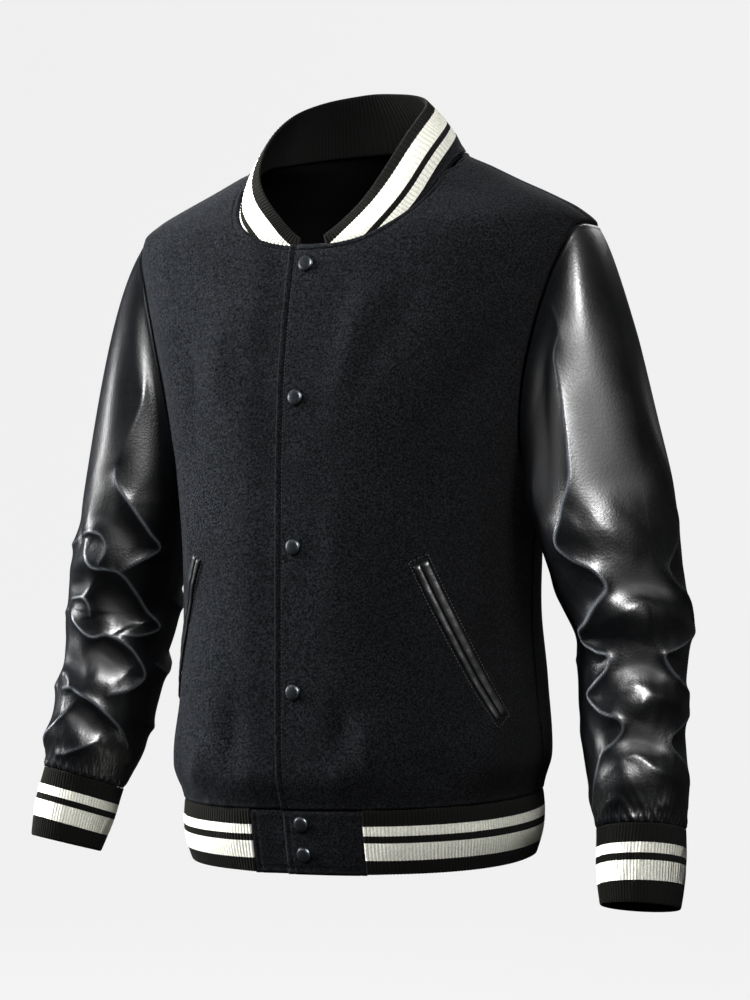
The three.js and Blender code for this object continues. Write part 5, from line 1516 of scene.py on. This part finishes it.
def studio_light(name, turn, rise, far, size, watts, target, hidden_from):
    """A soft box at an angle round from the front and above level, aimed at the jacket."""
    lamp = bpy.data.lights.new(name, "AREA")
    lamp.shape, lamp.size, lamp.size_y = "RECTANGLE", size[0], size[1]
    lamp.energy = watts * bpy.context.scene.jacket_sizes.light
    obj = bpy.data.objects.new(name, lamp)
    bpy.context.scene.collection.objects.link(obj)
    a, e = math.radians(turn), math.radians(rise)
    obj.location = (math.sin(a) * math.cos(e) * far, -math.cos(a) * math.cos(e) * far, target[2] + math.sin(e) * far)
    obj.rotation_euler = (Vector(target) - obj.location).to_track_quat("-Z", "Y").to_euler()
    if hidden_from:
        setattr(obj, hidden_from, False)


class JACKET_OT_stage(bpy.types.Operator):
    """Sets the camera, the soft boxes, and the pale floor with its round backdrop"""

    bl_idname = "jacket.stage"
    bl_label = "Stage"

    def execute(self, context):
        scene = context.scene
        scene.view_settings.view_transform = "Standard"
        camera = bpy.data.objects.new("camera", bpy.data.cameras.new("camera"))
        scene.collection.objects.link(camera)
        a = math.radians(CAMERA_TURN)
        camera.location = (math.sin(a) * CAMERA_FAR, -math.cos(a) * CAMERA_FAR, CAMERA_LEVEL)
        camera.rotation_euler = (math.pi / 2, 0, a)
        data = camera.data
        data.sensor_width = SENSOR_WIDTH
        data.lens = PIXELS_PER_METRE * CAMERA_FAR / PICTURE_HEIGHT * data.sensor_width
        data.shift_x = (PICTURE_WIDTH / 2 - AXIS_X) / PICTURE_HEIGHT
        data.shift_y = (HORIZON_Y - PICTURE_HEIGHT / 2) / PICTURE_HEIGHT
        data.clip_end = 50
        scene.camera = camera
        outline = [(FLOOR_REACH, FLOOR_Z)]
        outline += [(COVE_FROM + COVE_RADIUS * math.sin(t), FLOOR_Z + COVE_RADIUS - COVE_RADIUS * math.cos(t))
                    for t in np.linspace(0, math.pi / 2, 12)]
        outline += [(CEILING_FROM + CEILING_RADIUS, WALL_TOP_Z)]
        outline += [(CEILING_FROM + CEILING_RADIUS * math.cos(t), WALL_TOP_Z + CEILING_RADIUS * math.sin(t))
                    for t in np.linspace(0.2, math.pi / 2, 10)]
        sides, rings = ROOM_SIDES, len(outline)
        turn = 2 * math.pi * np.arange(sides) / sides
        points = [(r * math.cos(t), r * math.sin(t), z) for r, z in outline for t in turn]
        points += [(0, 0, FLOOR_Z), (0, 0, WALL_TOP_Z + CEILING_RADIUS)]
        faces = [(j * sides + k, j * sides + (k + 1) % sides, (j + 1) * sides + (k + 1) % sides, (j + 1) * sides + k)
                 for j in range(rings - 1) for k in range(sides)]
        faces += [((k + 1) % sides, k, rings * sides) for k in range(sides)]
        last = (rings - 1) * sides
        faces += [(last + k, last + (k + 1) % sides, rings * sides + 1) for k in range(sides)]
        mesh = bpy.data.meshes.new("studio_room")
        mesh.from_pydata(points, [], faces)
        mesh.polygons.foreach_set("use_smooth", np.ones(len(mesh.polygons), bool))
        mesh.materials.append(finish_named("Seamless paper"))
        room = bpy.data.objects.new("studio_room", mesh)
        scene.collection.objects.link(room)
        room.visible_glossy = False
        room.visible_diffuse = False
        room.visible_shadow = False
        world = bpy.data.worlds.new("studio_air")
        scene.world = world
        world.use_nodes = True
        air = world.node_tree.nodes["Background"]
        air.inputs["Color"].default_value = linear(AIR_COLOUR)
        air.inputs["Strength"].default_value = AIR_STRENGTH
        for light in LIGHTS:
            studio_light(*light)
        return {"FINISHED"}


class JACKET_PT_panel(bpy.types.Panel):
    bl_label = "Varsity jacket"
    bl_idname = "JACKET_PT_panel"
    bl_space_type = "VIEW_3D"
    bl_region_type = "UI"
    bl_category = "Jacket"

    def draw(self, context):
        for group in (context.scene.jacket_sizes, context.scene.jacket_colours):
            for key in group.__annotations__:
                self.layout.prop(group, key)
        for operator in OPERATORS:
            self.layout.operator(operator.bl_idname)


OPERATORS = (JACKET_OT_stage, JACKET_OT_wool_body, JACKET_OT_sleeves, JACKET_OT_rib_knit, JACKET_OT_neck_facing,
             JACKET_OT_hem_tabs, JACKET_OT_pockets, JACKET_OT_snaps, JACKET_OT_stitching)
CLASSES = (JacketColours, JacketSizes, *OPERATORS, JACKET_PT_panel)


def register():
    for cls in CLASSES:
        bpy.utils.register_class(cls)
    bpy.types.Scene.jacket_colours = PointerProperty(type=JacketColours)
    bpy.types.Scene.jacket_sizes = PointerProperty(type=JacketSizes)


def unregister():
    del bpy.types.Scene.jacket_sizes
    del bpy.types.Scene.jacket_colours
    for cls in reversed(CLASSES):
        bpy.utils.unregister_class(cls)


def main():
    register()
    for operator in OPERATORS:
        group, name = operator.bl_idname.split(".")
        getattr(getattr(bpy.ops, group), name)()


if __name__ == "__main__":
    main()
